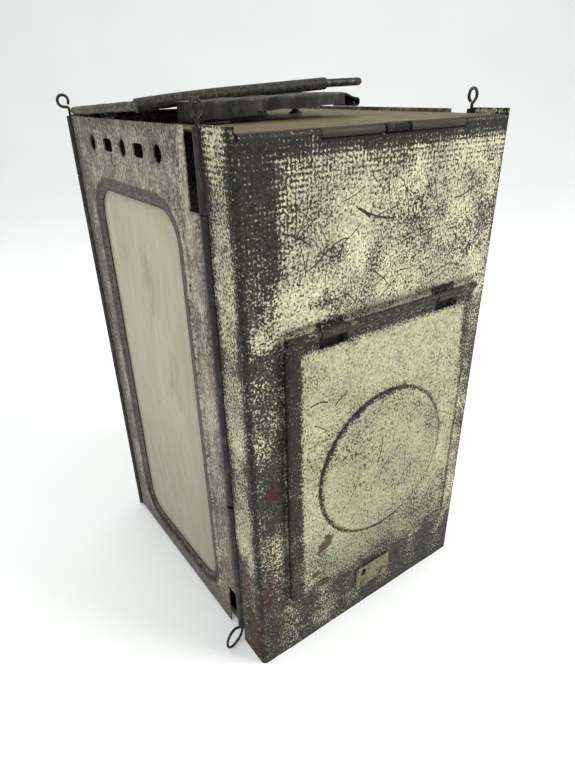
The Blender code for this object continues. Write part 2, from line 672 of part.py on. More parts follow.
def candle_set():
    x, y = CANDLE_PLACE.xy
    base = SHEET + GAP
    tray = rod((x, y, base), (x, y, base + 4), TRAY_RADIUS - 3, sides=40, end_radius=TRAY_RADIUS)
    hollow = rod((x, y, base + SHEET), (x, y, base + 5), TRAY_RADIUS - 3.6, sides=40, end_radius=TRAY_RADIUS)
    finish(cut(tray, hollow), "drip_tray", "dark tin")
    low = base + SHEET + GAP
    socket = rod((x, y, low), (x, y, low + 20), SOCKET_RADIUS, sides=28)
    flange = rod((x, y, low), (x, y, low + SHEET), SOCKET_RADIUS + 6, sides=28)
    join(socket, flange)
    cut(socket, rod((x, y, low + SHEET), (x, y, low + 30), SOCKET_RADIUS - SHEET, sides=28))
    finish(socket, "candle_socket", "dark tin")
    foot = low + SHEET + GAP
    candle = rod((x, y, foot), (x, y, foot + CANDLE_HEIGHT), CANDLE_RADIUS, sides=28)
    top = foot + CANDLE_HEIGHT
    cut(candle, rod((x, y, top - 6), (x, y, top + 3), 1.2, sides=10))
    finish(candle, "candle", "wax")
    wick = rod((x, y, top - 5.5), (x, y, top + 7), 0.8, sides=10)
    finish(wick, "wick", "wick")


def main():
    clear_scene()
    front_wall()
    rear_wall()
    floor_pan()
    for name, side in (("left_panel", -1), ("right_panel", 1)):
        side_panel(name, side)
        side_window(side)
    hinge_pins()
    roof_spring()
    flap()
    signal_glass()
    flap_catch()
    roof_plate()
    vent_hood()
    chimney_cap()
    cap_posts()
    hanger()
    candle_set()


main()
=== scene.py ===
"""Looks of a folding railway lantern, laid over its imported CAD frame. Sizes here are in millimetres, in
the frame of the CAD, and each mesh is made in metres."""

import math

import bmesh
import bpy
import numpy as np
from mathutils import Matrix, Vector
from mathutils.geometry import delaunay_2d_cdt
from mathutils.kdtree import KDTree


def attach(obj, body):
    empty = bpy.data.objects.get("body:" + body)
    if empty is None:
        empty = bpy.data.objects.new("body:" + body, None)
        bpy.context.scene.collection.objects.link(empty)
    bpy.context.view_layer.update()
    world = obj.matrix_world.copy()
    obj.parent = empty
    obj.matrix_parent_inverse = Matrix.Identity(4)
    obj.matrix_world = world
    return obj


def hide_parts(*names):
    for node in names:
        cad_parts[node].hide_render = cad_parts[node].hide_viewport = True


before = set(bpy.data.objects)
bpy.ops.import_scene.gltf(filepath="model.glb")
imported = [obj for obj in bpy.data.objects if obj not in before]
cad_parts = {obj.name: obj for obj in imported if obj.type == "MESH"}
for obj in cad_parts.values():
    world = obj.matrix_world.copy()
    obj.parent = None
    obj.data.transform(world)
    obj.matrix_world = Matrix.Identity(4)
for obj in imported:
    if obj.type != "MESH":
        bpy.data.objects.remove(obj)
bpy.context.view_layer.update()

MM = 0.001
SHEET = 0.6
SHARP = math.radians(38)

# Places taken over from the CAD frame
HALF_WIDTH = 61.0
HEIGHT = 220.0
FRONT = -69.0
FRONT_PINS, REAR_PINS = -50.6, 68.6
KNUCKLE = 1.6
PIN = 0.6
LOW_BREAK, MIDDLE_BREAK, HIGH_BREAK = 25.0, 80.0, 195.0
FOOT_KNUCKLE = 7.5
PANEL_LOW, PANEL_HIGH = 1.5, 219.5
ROOF_AXIS_Y, ROOF_AXIS_Z = -67.3, 216.4
ROOF_TOP = 218.1
ROOF_GAP = (-30.3, 35.8)
SPRING_GAP = (-3.9, 7.9)
FLAP_AXIS_Y, FLAP_AXIS_Z = -71.2, 154.2
FLAP_FACE = -71.4
LUGS = ((-32.0, -20.0), (27.0, 39.0))
DISC_X, DISC_Z, DISC_RADIUS = 3.5, 85.2, 34.6
GLASS = (-28.5, 46.0, 17.0, 192.0)
GLASS_CORNER = 12.0
VENT_Z = 210.1
ROUND_VENTS = (-20.7, 11.1, 43.4)
SLOT_VENTS = (-4.1, 26.2)
CATCH_RIVETS = ((-3.2, 15.0), (9.3, 15.0))
CANDLE_Y = 4.0
CHIMNEY = (-46.0, 8.0, 14.0, 56.0)
HEM_CORNER = Vector((-60.3, -5.2, 225.1))
LEAN = math.radians(3.1)
HOOD_LEAN = LEAN * 0.45
CAP_PITCH = math.radians(2.2)
HOOD = (-48.0, 16.0, -29.0, -8.2)
HOOD_TOP = 225.4
HOOD_CREASES = (-48.0, -37.5, -21.0, -9.5, 16.0)
HOOD_APRON_END = -26.3
HOOD_CURL = (21.4, -4.0)


# Shaders


class Look:
    """A material under construction, whose patterns are sized in millimetres of the piece's own frame."""

    def __init__(self, name):
        self.material = bpy.data.materials.new(name)
        self.material.use_nodes = True
        self.tree = self.material.node_tree
        self.surface = self.tree.nodes["Principled BSDF"]
        coordinates = self.tree.nodes.new("ShaderNodeTexCoord")
        self.place = self.vector("SCALE", coordinates.outputs["Object"], scale=1 / MM)

    def node(self, kind, inputs=(), **settings):
        made = self.tree.nodes.new(kind)
        for setting, value in settings.items():
            setattr(made, setting, value)
        for socket, value in dict(inputs).items():
            if isinstance(value, bpy.types.NodeSocket):
                self.tree.links.new(value, made.inputs[socket])
            else:
                made.inputs[socket].default_value = value
        return made

    def vector(self, operation, first, second=None, scale=None):
        inputs = {0: first}
        if second is not None:
            inputs[1] = second
        if scale is not None:
            inputs["Scale"] = scale
        return self.node("ShaderNodeVectorMath", inputs, operation=operation).outputs[0]

    def math(self, operation, first, second=0.0):
        return self.node("ShaderNodeMath", {0: first, 1: second}, operation=operation).outputs[0]

    def spot(self, stretch, shift):
        """The place with each axis divided by stretch, and shifted, so that patterns differ."""
        scaled = self.vector("MULTIPLY", self.place, [1 / s for s in stretch])
        return self.vector("ADD", scaled, (shift, shift * 1.7, shift * 0.6))

    def noise(self, size, stretch=(1, 1, 1), shift=0.0, detail=2.0, roughness=0.5, distortion=0.0):
        inputs = {
            "Vector": self.spot(stretch, shift),
            "Scale": 1 / size,
            "Detail": detail,
            "Roughness": roughness,
            "Distortion": distortion,
        }
        return self.node("ShaderNodeTexNoise", inputs).outputs[0]

    def dots(self, spacing, stretch=(1, 1, 1), shift=0.0, turn=0.0, warp=0.0):
        """The distance to the nearest of many scattered points, as a share of their spacing."""
        where = self.place
        if turn:
            rotation = {"Vector": where, "Axis": (0.2, 1, 0.1), "Angle": turn}
            where = self.node("ShaderNodeVectorRotate", rotation).outputs[0]
        if warp:
            wave = self.node("ShaderNodeTexNoise", {"Vector": where, "Scale": 0.09}).outputs[1]
            wave = self.vector("SCALE", self.vector("SUBTRACT", wave, (0.5, 0.5, 0.5)), scale=warp)
            where = self.vector("ADD", where, wave)
        where = self.vector("MULTIPLY", where, [1 / s for s in stretch])
        where = self.vector("ADD", where, (shift, shift * 0.7, shift * 1.3))
        found = self.node("ShaderNodeTexVoronoi", {"Vector": where, "Scale": 1 / spacing})
        return found.outputs["Distance"]

    def step(self, value, low, high, out=(0.0, 1.0)):
        """The value's smooth climb from low to high, as a number between the two in out."""
        inputs = {"Value": value, "From Min": low, "From Max": high, "To Min": out[0], "To Max": out[1]}
        return self.node("ShaderNodeMapRange", inputs, interpolation_type="SMOOTHSTEP").outputs[0]

    def mix(self, share, first, second):
        """A colour between two others."""
        first, second = [(*c, 1) if isinstance(c, tuple) else c for c in (first, second)]
        made = self.node("ShaderNodeMix", {0: share, 6: first, 7: second}, data_type="RGBA")
        return made.outputs[2]

    def blend(self, share, first, second):
        """A number between two others."""
        return self.node("ShaderNodeMix", {0: share, 2: first, 3: second}, data_type="FLOAT").outputs[0]

    def waves(self, axis, period):
        """Even ridges across one axis of the place, from -1 to 1."""
        across = self.node("ShaderNodeSeparateXYZ", {0: self.place}).outputs[axis]
        return self.math("SINE", self.math("MULTIPLY", across, math.tau / period))

    def scaled(self, colour, share):
        """A colour made brighter or darker by share."""
        return self.vector("SCALE", colour, scale=share)

    def layer(self, name):
        """A number that the mesh holds at each point."""
        return self.node("ShaderNodeAttribute", attribute_name=name).outputs["Fac"]

    def over(self, colour, share, amount, tint):
        """The colour covered by a tint, where share is high and never past amount."""
        return self.mix(self.math("MULTIPLY", share, amount), colour, tint)

    def finish(self, colour, roughness, height=None, depth=0.05, metallic=0.0):
        sockets = self.surface.inputs
        for socket, value in (("Base Color", colour), ("Roughness", roughness), ("Metallic", metallic)):
            if isinstance(value, bpy.types.NodeSocket):
                self.tree.links.new(value, sockets[socket])
            else:
                sockets[socket].default_value = (*value, 1) if isinstance(value, tuple) else value
        if height is not None:
            bump = self.node("ShaderNodeBump", {"Height": height, "Distance": depth * MM, "Strength": 0.8})
            self.tree.links.new(bump.outputs[0], sockets["Normal"])
        return self.material


def aged_tin(
    name, pale, dull, steel, speckle=0.0, streak=0.0, contrast=0.26, size=0.85, tone_size=14, clouds=0.18
):
    """Tinned sheet gone pale and speckled, rubbed through to dark steel where the wear layer is high; in
    places that layer also carries painted shade and painted highlight.

    speckle adds to the share of dark grain of that size. streak draws the grain out vertically. contrast is
    how far the pale metal varies from grain to grain, and clouds how far the wear varies from place to place.
    The rust and scratch layers darken it, as does the layer of dirt and painted shade, and the weave layer
    gives its grain a crossed hatch."""
    look = Look(name)
    wear, rust, dirt_and_shade = look.layer("wear"), look.layer("rust"), look.layer("dirt_and_shade")
    broad = look.noise(28, shift=3.1, detail=3, roughness=0.6)
    patchy = look.noise(7, shift=7.7, detail=2, roughness=0.6)
    mask = look.math("ADD", wear, look.step(broad, 0.3, 0.7, (-clouds, clouds)))
    mask = look.math("ADD", mask, look.step(patchy, 0.3, 0.7, (-0.15, 0.15)))
    grain = look.noise(size, detail=2.5, roughness=0.62)
    drawn = look.noise(size, (0.8, 0.8, 3.2), 1.9, detail=2.5, roughness=0.62, distortion=0.4)
    mixed = look.blend(look.step(mask, 0.1, 0.75, (streak, min(1.0, streak + 0.2))), grain, drawn)
    level = look.math("ADD", look.math("MULTIPLY", mask, 0.19), 0.45 + speckle)
    cloth = look.math("ADD", look.waves("X", 1.5), look.waves("Z", 1.7))
    cloth = look.math("MULTIPLY", cloth, look.math("MULTIPLY", look.layer("weave"), 0.05))
    level = look.math("ADD", level, cloth)
    dark = look.step(look.math("SUBTRACT", level, mixed), -0.06, 0.06)
    pits = look.dots(3.4, shift=0.4)
    pit_size = look.step(look.noise(5.0, shift=12.0), 0.5, 0.72, (0.02, 0.24))
    pits = look.step(look.math("SUBTRACT", pit_size, pits), -0.03, 0.03)
    dark = look.math("MAXIMUM", dark, look.math("MULTIPLY", pits, 0.75))
    hairs = look.dots(40, (0.04, 1, 1), 2.2, 0.7, 5.0)
    strokes = look.step(hairs, 0.05, 0.085, (0.65, 0.0))
    hairs = look.dots(40, (0.04, 1, 1), 6.4, -0.45, 6.0)
    strokes = look.math("MAXIMUM", strokes, look.step(hairs, 0.05, 0.08, (0.6, 0.0)))
    shake = look.math("MULTIPLY", look.math("SUBTRACT", look.noise(1.1, shift=27.0), 0.5), 0.16)
    scratch = look.step(look.math("ADD", look.layer("scratch"), shake), 0.90, 0.95)
    dark = look.math("MAXIMUM", dark, look.math("MAXIMUM", strokes, scratch))
    tone = look.step(look.noise(tone_size, (1, 1, 1 + 2 * streak), 4.2, 3), 0.35, 0.65)
    light = look.mix(tone, pale, dull)
    fine = look.step(look.noise(0.9, (1, 1, 1.4), 21.0, detail=2), 0.3, 0.7)
    light = look.scaled(light, look.step(fine, 0.0, 1.0, (1 - contrast, 1 + contrast)))
    stains = look.noise(1.3, shift=24.0, detail=3, roughness=0.65)
    deep = look.scaled(steel, look.step(stains, 0.32, 0.72, (0.7, 2.3)))
    colour = look.mix(dark, light, deep)
    rusted = look.math("ADD", rust, look.step(look.noise(2.2, shift=17.0, detail=3), 0.3, 0.7, (-0.35, 0.35)))
    rusted = look.step(rusted, 0.2, 0.85)
    brown = look.step(look.noise(1.6, shift=31.0), 0.35, 0.65)
    brown = look.mix(brown, (0.036, 0.018, 0.016), (0.070, 0.031, 0.023))
    colour = look.over(colour, rusted, 0.85, brown)
    # dirt and painted shade: near black where the layer of dirt and painted shade is high, in gaps, creases
    # and under parts
    colour = look.over(colour, dirt_and_shade, 0.94, (0.010, 0.009, 0.007))
    roughness = look.step(dark, 0.0, 1.0, (0.62, 0.48))
    roughness = look.math("ADD", roughness, look.math("MULTIPLY", rusted, 0.25))
    height = look.math("SUBTRACT", look.math("MULTIPLY", fine, 0.25), dark)
    look.surface.inputs["Specular IOR Level"].default_value = 0.12
    return look.finish(colour, roughness, height, 0.05)


def dark_iron(name, base, worn, metallic=0.55):
    """Wire and rolled edges: near black, rubbed bright in places, with brown spots."""
    look = Look(name)
    rubbed = look.step(look.noise(2.6, (1, 1, 2), 2.0, 3), 0.48, 0.72)
    colour = look.mix(rubbed, base, worn)
    spots = look.step(look.noise(4.0, shift=9.0, detail=4, roughness=0.65), 0.56, 0.66)
    colour = look.over(colour, spots, 0.6, (0.045, 0.028, 0.02))
    # painted shade: near black where the layer of dirt and painted shade is high, in the hood's creases and
    # along its lower edge
    colour = look.over(colour, look.layer("dirt_and_shade"), 0.9, (0.008, 0.007, 0.006))
    roughness = look.step(look.noise(1.2, shift=5.0), 0.3, 0.7, (0.38, 0.60))
    height = look.noise(0.5, shift=8.0, detail=3)
    look.surface.inputs["Specular IOR Level"].default_value = 0.3
    return look.finish(colour, roughness, height, 0.04, metallic)


def roof_tin():
    """Tin gone brown, drawn out along the roof's width, darker where the wear layer and the layer of dirt and
    painted shade are high.
    """
    look = Look("roof_brown_tin")
    along = look.noise(2.2, (14, 1, 1), 1.0, 4, 0.6, 0.6)
    colour = look.mix(look.step(along, 0.36, 0.64), (0.078, 0.058, 0.030), (0.185, 0.138, 0.062))
    bloom = look.step(look.noise(16, (2, 1, 1), 5.0, 3), 0.45, 0.68)
    colour = look.over(colour, bloom, 0.35, (0.135, 0.122, 0.085))
    spots = look.step(look.noise(1.1, (1.6, 1, 1), 9.0, 3, 0.65), 0.56, 0.64)
    colour = look.over(colour, spots, 0.75, (0.05, 0.04, 0.03))
    colour = look.over(colour, look.layer("wear"), 0.8, (0.035, 0.032, 0.026))
    colour = look.mix(look.layer("dirt_and_shade"), colour, (0.008, 0.007, 0.006))
    roughness = look.step(look.noise(3.0, (3, 1, 1), 7.0, 3), 0.3, 0.7, (0.48, 0.72))
    look.surface.inputs["Specular IOR Level"].default_value = 0.2
    height = look.math("SUBTRACT", look.noise(0.9, (2, 1, 1), 3.0, 3), look.math("MULTIPLY", spots, 0.5))
    return look.finish(colour, roughness, height, 0.06, 0.15)


def milky_mica():
    """Mica gone cloudy, its pale colour made bright as painted light that stands in for light shining through
    it; yellower and darker where the layer that darkens its lower part is high, and stained brown where the
    rust layer is.
    """
    look = Look("milky_mica")
    cloud = look.step(look.noise(16, (1, 1, 2.5), 2.0, 4, 0.6, 0.8), 0.32, 0.68)
    # painted light: the pale mica colours are raised to stand in for light shining through the mica
    colour = look.mix(cloud, (0.405, 0.385, 0.275), (0.465, 0.45, 0.335))
    smear = look.step(look.noise(4.0, (1, 1, 7), 3.0, 3, 0.6, 0.6), 0.4, 0.75)
    colour = look.over(colour, smear, 0.18, (0.33, 0.29, 0.19))
    # darker and yellower over the lower part
    colour = look.over(colour, look.layer("darkening"), 0.62, (0.22, 0.205, 0.145))
    blurred = look.step(look.noise(5.0, (1, 1, 3), 8.0, 3), 0.38, 0.62)
    stain = look.math("MULTIPLY", look.layer("rust"), blurred)
    colour = look.over(colour, stain, 0.7, (0.26, 0.19, 0.095))
    flakes = look.step(look.noise(1.6, (1, 1, 3), 5.0, 3, 0.6, 1.2), 0.60, 0.70)
    colour = look.over(colour, flakes, 0.35, (0.25, 0.19, 0.11))
    colour = look.over(colour, look.layer("wear"), 0.6, (0.20, 0.16, 0.115))
    specks = look.step(look.dots(13, shift=3.0), 0.035, 0.05, (1.0, 0.0))
    colour = look.over(colour, specks, 0.8, (0.09, 0.06, 0.035))
    roughness = look.step(look.noise(4.0, (1, 1, 4), 4.0, 3), 0.3, 0.7, (0.34, 0.52))
    height = look.noise(7.0, (1, 1, 3), 6.0, 3)
    material = look.finish(colour, roughness, height, 0.12)
    look.surface.inputs["Specular IOR Level"].default_value = 0.3
    return material


def clear_glass():
    look = Look("lens_glass")
    dust = look.step(look.noise(3.0, shift=2.0, detail=4, roughness=0.7), 0.35, 0.75, (0.03, 0.2))
    material = look.finish((0.86, 0.93, 0.90), dust, look.noise(9.0, shift=1.0), 0.05)
    look.surface.inputs["Transmission Weight"].default_value = 0.9
    look.surface.inputs["IOR"].default_value = 1.5
    return material


def old_wax():
    look = Look("old_wax")
    soot = look.step(look.noise(6.0, (1, 1, 2), 1.0, 4), 0.42, 0.68)
    colour = look.mix(soot, (0.72, 0.64, 0.46), (0.52, 0.44, 0.30))
    material = look.finish(colour, look.step(soot, 0.0, 1.0, (0.42, 0.6)), look.noise(3.0, shift=4.0), 0.12)
    look.surface.inputs["Subsurface Weight"].default_value = 0.25
    look.surface.inputs["Subsurface Radius"].default_value = (0.004, 0.002, 0.001)
    return material


def charred_wick():
    look = Look("charred_wick")
    ply = look.step(look.noise(0.35, (1, 1, 3), 1.0, 2), 0.4, 0.6)
    colour = look.mix(ply, (0.012, 0.010, 0.009), (0.06, 0.045, 0.03))
    return look.finish(colour, 0.9, ply, 0.08)


BARE_STEEL = (0.024, 0.0225, 0.017)
FRONT_LOOK = aged_tin(
    "front_tin", (0.56, 0.53, 0.37), (0.40, 0.385, 0.28), BARE_STEEL, speckle=0.005, contrast=0.3, clouds=0.30
)
FLAP_LOOK = aged_tin(
    "flap_tin", (0.425, 0.41, 0.265), (0.355, 0.35, 0.24), BARE_STEEL,
    speckle=-0.05, contrast=0.22, clouds=0.2,
)
SIDE_LOOK = aged_tin(
    "side_tin", (0.41, 0.39, 0.29), (0.23, 0.205, 0.168), (0.075, 0.064, 0.053),
    streak=0.35, contrast=0.3, size=1.25, tone_size=6.0, clouds=0.3,
)
INNER_LOOK = aged_tin(
    "inner_tin", (0.30, 0.28, 0.22), (0.20, 0.18, 0.15), (0.06, 0.052, 0.045), speckle=0.08, streak=0.5
)
CAP_LOOK = aged_tin(
    "cap_tin", (0.17, 0.165, 0.125), (0.11, 0.105, 0.08), (0.026, 0.024, 0.019), speckle=0.04, streak=0.1
)
CATCH_LOOK = aged_tin(
    "catch_tin", (0.22, 0.195, 0.115), (0.165, 0.148, 0.09), (0.10, 0.09, 0.06), streak=0.3
)
ROOF_LOOK = roof_tin()
HOOD_LOOK = dark_iron("hood_iron", (0.024, 0.022, 0.018), (0.062, 0.058, 0.046), metallic=0.1)
TUBE_LOOK = dark_iron("rolled_edge", (0.016, 0.014, 0.012), (0.050, 0.046, 0.038), metallic=0.1)
WIRE_LOOK = dark_iron("iron_wire", (0.028, 0.024, 0.022), (0.10, 0.09, 0.08))
MICA_LOOK = milky_mica()
GLASS_LOOK = clear_glass()
WAX_LOOK = old_wax()
WICK_LOOK = charred_wick()


# Meshes


def add_piece(name, mesh, look, body, nodes=()):
    obj = bpy.data.objects.new(name, mesh)
    bpy.context.scene.collection.objects.link(obj)
    obj.data.materials.clear()
    obj.data.materials.append(look)
    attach(obj, body)
    if nodes:
        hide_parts(*nodes)
    return obj


def even(value):
    """A layer with the same value all over."""
    return lambda *at: np.full(len(at[0]), value)


def new_mesh(name, points, faces, layers=None):
    """A mesh from points in millimetres, with a number at each point for every layer."""
    mesh = bpy.data.meshes.new(name)
    mesh.from_pydata([tuple(p) for p in np.asarray(points) * MM], [], [tuple(map(int, f)) for f in faces])
    for layer, values in (layers or {}).items():
        attribute = mesh.attributes.new(layer, "FLOAT", "POINT")
        attribute.data.foreach_set("value", np.asarray(values, np.float32))
    mesh.update()
    return mesh


def baked(mesh, **modifiers):
    """The mesh after the modifiers named, each given as a dictionary of settings."""
    holder = bpy.data.objects.new("holder", mesh)
    bpy.context.scene.collection.objects.link(holder)
    for kind, settings in modifiers.items():
        modifier = holder.modifiers.new(kind, kind)
        for setting, value in settings.items():
            setattr(modifier, setting, value)
    bpy.context.view_layer.update()
    graph = bpy.context.evaluated_depsgraph_get()
    result = bpy.data.meshes.new_from_object(holder.evaluated_get(graph))
    bpy.data.objects.remove(holder)
    result.name = mesh.name
    return result


def smooth(mesh):
    """Smooth shading, apart from edges sharper than SHARP."""
    mesh.shade_smooth()
    mesh.set_sharp_from_angle(angle=SHARP)
    return mesh


def thicken(mesh, thickness=0.55):
    """Gives a surface its thickness, on the side away from its normals."""
    return baked(mesh, SOLIDIFY={"thickness": thickness * MM, "offset": -1.0, "use_even_offset": True})


def inside(points, ring):
    """Which points lie inside a closed outline."""
    u, v = points[:, 0][:, None], points[:, 1][:, None]
    start, end = ring, np.roll(ring, -1, axis=0)
    crosses = (start[:, 1] > v) != (end[:, 1] > v)
    rise = np.where(end[:, 1] == start[:, 1], 1e-9, end[:, 1] - start[:, 1])
    reach = (end[:, 0] - start[:, 0]) * (v - start[:, 1]) / rise + start[:, 0]
    return (crosses & (u < reach)).sum(axis=1) % 2 == 1


def outlined(ring, pitch, u_lines, v_lines):
    """An outline with points added every pitch and wherever it crosses a guide line."""
    made = []
    for start, end in zip(ring, np.roll(ring, -1, axis=0)):
        span = np.hypot(*(end - start))
        shares = list(np.linspace(0, 1, max(1, round(span / pitch)) + 1)[:-1])
        for axis, lines in ((0, u_lines), (1, v_lines)):
            if abs(end[axis] - start[axis]) > 1e-6:
                shares += [(line - start[axis]) / (end[axis] - start[axis]) for line in lines]
        kept = [0.0]
        for share in sorted(s for s in shares if 0 < s < 1):
            if (share - kept[-1]) * span > 0.12 and (1 - share) * span > 0.12:
                kept.append(share)
        made += [start + (end - start) * share for share in kept]
    return np.array(made)


def flank(points, offset):
    """The same path moved sideways by offset."""
    along = np.gradient(np.asarray(points, float), axis=0)
    along /= np.maximum(np.hypot(*along.T), 1e-9)[:, None]
    return points + offset * np.column_stack([-along[:, 1], along[:, 0]])


def triangulated(outline, holes, pitch, u_lines, v_lines, rings, strokes):
    """Points and triangles over a flat figure, dense along its guides and even elsewhere."""
    borders = [outlined(np.array(r, float), pitch, u_lines, v_lines) for r in [outline, *holes]]
    edges, count = [], 0
    for border in borders:
        edges += [(count + i, count + (i + 1) % len(border)) for i in range(len(border))]
        count += len(border)
    edge_points = np.vstack(borders)
    low, high = edge_points.min(axis=0), edge_points.max(axis=0)
    across, up = np.arange(low[0], high[0], pitch), np.arange(low[1], high[1], pitch)
    guides = [np.column_stack([np.full(len(up), u), up]) for u in u_lines]
    guides += [np.column_stack([across, np.full(len(across), v)]) for v in v_lines]
    guides += [np.asarray(g, float) for g in (*strokes, *rings)]
    flanks = [flank(s, side * 0.75) for s in strokes for side in (-1, 1)]
    grid = []
    for i, v in enumerate(np.arange(low[1], high[1], pitch * 0.87)):
        grid.append(np.column_stack([across + pitch / 2 * (i % 2), np.full(len(across), v)]))
    points = [edge_points]
    for batch, clearance in ((guides, 0.24), (flanks, 0.45), (grid, pitch * 0.62)):
        near = np.vstack(points)
        tree = KDTree(len(near))
        for i, (u, v) in enumerate(near):
            tree.insert((u, v, 0), i)
        tree.balance()
        if not batch:
            continue
        batch = np.vstack(batch)
        good = inside(batch, borders[0])
        for border in borders[1:]:
            good &= ~inside(batch, border)
        batch = batch[good]
        free = [tree.find((u, v, 0))[2] > clearance for u, v in batch]
        points.append(batch[free])
    points = np.vstack(points)
    found = delaunay_2d_cdt([Vector(p) for p in points], edges, [], 0, 1e-4)
    flat = np.array([tuple(p) for p in found[0]])
    triangles = np.array([f for f in found[2] if len(f) == 3])
    middle = flat[triangles].mean(axis=1)
    good = inside(middle, borders[0])
    for border in borders[1:]:
        good &= ~inside(middle, border)
    triangles = triangles[good]
    used = np.unique(triangles)
    index = np.full(len(flat), -1)
    index[used] = np.arange(len(used))
    return flat[used], index[triangles]


def sheet(
    name, outline, place, holes=(), pitch=1.7, u_lines=(), v_lines=(), rings=(), strokes=(), relief=None,
    layers=None, thickness=0.55, turned=False
):
    """A metal sheet: a flat figure with relief, bent into shape by place(u, v, height), and thickened."""
    flat, triangles = triangulated(outline, holes, pitch, u_lines, v_lines, rings, [s for s, _ in strokes])
    u, v = flat.T
    height = relief(u, v) if relief else np.zeros(len(u))
    values = {layer: np.clip(make(u, v), 0, 1) for layer, make in (layers or {}).items()}
    scratch = np.zeros(len(u))
    for points, weight in strokes:
        scratch = np.maximum(scratch, 1 - distance_to_line(u, v, points) / (3.0 * weight))
    values["scratch"] = scratch
    if turned:
        triangles = triangles[:, ::-1]
    mesh = new_mesh(name, np.column_stack(place(u, v, height)), triangles, values)
    return smooth(thicken(mesh, thickness))


def ramp(value, low, high):
    """A smooth climb from 0 at low to 1 at high."""
    t = np.clip((value - low) / (high - low), 0, 1)
    return t * t * (3 - 2 * t)


def ridge(value, centre, half):
    """A smooth bump, 1 at centre and 0 beyond half on either side."""
    return np.cos(np.clip(np.abs(value - centre) / half, 0, 1) * math.pi / 2) ** 2


def ripple(u, v, seed, size):
    """A gentle unevenness of about that size, as in sheet that has been handled."""
    rng = np.random.default_rng(seed)
    total = np.zeros(len(u))
    for wavelength in (95, 70, 52, 38, 30):
        angle, phase = rng.uniform(0, math.tau, 2)
        total += np.sin((u * math.cos(angle) + v * math.sin(angle)) / wavelength * math.tau + phase)
    return total * size / 3


def blot(u, v, centre, radius, stretch=1.0):
    """A soft round patch, stretched upwards by stretch."""
    return 1 - ramp(np.hypot(u - centre[0], (v - centre[1]) / stretch), radius * 0.35, radius)


def blots(u, v, table):
    """The sum of soft patches, each given as (centre, radius, stretch, weight)."""
    return sum(weight * blot(u, v, centre, radius, stretch) for centre, radius, stretch, weight in table)


def rounded_distance(u, v, box, radius):
    """How far each point lies outside a rounded rectangle, with a minus sign inside it."""
    left, right, low, high = box
    du = np.abs(u - (left + right) / 2) - ((right - left) / 2 - radius)
    dv = np.abs(v - (low + high) / 2) - ((high - low) / 2 - radius)
    return np.hypot(np.maximum(du, 0), np.maximum(dv, 0)) + np.minimum(np.maximum(du, dv), 0) - radius


def distance_to_line(u, v, points):
    best = np.full(len(u), 1e9)
    for (u0, v0), (u1, v1) in zip(points, points[1:]):
        length = max((u1 - u0) ** 2 + (v1 - v0) ** 2, 1e-9)
        t = np.clip(((u - u0) * (u1 - u0) + (v - v0) * (v1 - v0)) / length, 0, 1)
        best = np.minimum(best, np.hypot(u - u0 - t * (u1 - u0), v - v0 - t * (v1 - v0)))
    return best


def arc(centre, radius, start, end, steps):
    turn = np.radians(np.linspace(start, end, steps + 1))
    return np.column_stack([centre[0] + radius * np.cos(turn), centre[1] + radius * np.sin(turn)])


def rounded(box, radius, steps=8, spacing=None):
    """A rectangle's outline with round corners, with points along its sides if spacing is given."""
    left, right, low, high = box
    corners = (
        arc((right - radius, low + radius), radius, -90, 0, steps),
        arc((right - radius, high - radius), radius, 0, 90, steps),
        arc((left + radius, high - radius), radius, 90, 180, steps),
        arc((left + radius, low + radius), radius, 180, 270, steps),
    )
    ring = np.vstack(corners)
    return outlined(ring, spacing, (), ()) if spacing else ring


def grown(box, by):
    return (box[0] - by, box[1] + by, box[2] - by, box[3] + by)


def circle(centre, radius, spacing=None, steps=32):
    if spacing:
        steps = max(12, round(math.tau * radius / spacing))
    return arc(centre, radius, 0, 360 - 360 / steps, steps - 1)


def stroke(start, end, bow, seed):
    """A scratch from start to end, bowed sideways and slightly shaky, as close-set points."""
    rng = np.random.default_rng(seed)
    start, end = np.array(start, float), np.array(end, float)
    along = end - start
    count = max(3, int(np.hypot(*along) / 0.45))
    t = np.linspace(0, 1, count)
    side = np.array((-along[1], along[0])) / max(np.hypot(*along), 1e-9)
    shake = np.cumsum(rng.normal(0, 0.05, count))
    offset = bow * np.sin(math.pi * t) + shake - shake.mean()
    return start + along * t[:, None] + side * offset[:, None]


def scratches(first_seed, *marks):
    """Scratches, each given as (start, end, bow, weight) and shaken by a seed of its own."""
    made = []
    for seed, (start, end, bow, weight) in enumerate(marks, first_seed):
        made.append((stroke(start, end, bow, seed), weight))
    return tuple(made)


def stray_strokes(box, count, lengths, seed):
    """Fine scratches scattered over a box, mostly lying along one slope or across it."""
    rng = np.random.default_rng(seed)
    made = []
    for _ in range(count):
        start = np.array((rng.uniform(box[0], box[1]), rng.uniform(box[2], box[3])))
        slope = math.radians(rng.choice((-28, 20, 35, 80, 100)) + rng.normal(0, 9))
        end = start + rng.uniform(*lengths) * np.array((math.cos(slope), math.sin(slope)))
        end = np.clip(end, (box[0], box[2]), (box[1], box[3]))
        made.append((stroke(start, end, rng.uniform(-0.6, 0.6), int(rng.integers(1000, 9000))), 0.7))
    return tuple(made)


def skin(name, rows, look_layers=None, thickness=0.55):
    """A thickened sheet through rows of points, its outer side on the left of each row's direction."""
    rows = np.asarray(rows, float)
    count, width = rows.shape[:2]
    index = np.arange(count * width).reshape(count, width)
    faces = []
    for low, high in zip(index, index[1:]):
        faces += list(zip(low, low[1:], high[1:], high))
    points = rows.reshape(-1, 3)
    layers = {layer: make(points) for layer, make in (look_layers or {}).items()}
    mesh = new_mesh(name, points, faces, layers)
    return smooth(thicken(mesh, thickness)) if thickness else smooth(mesh)


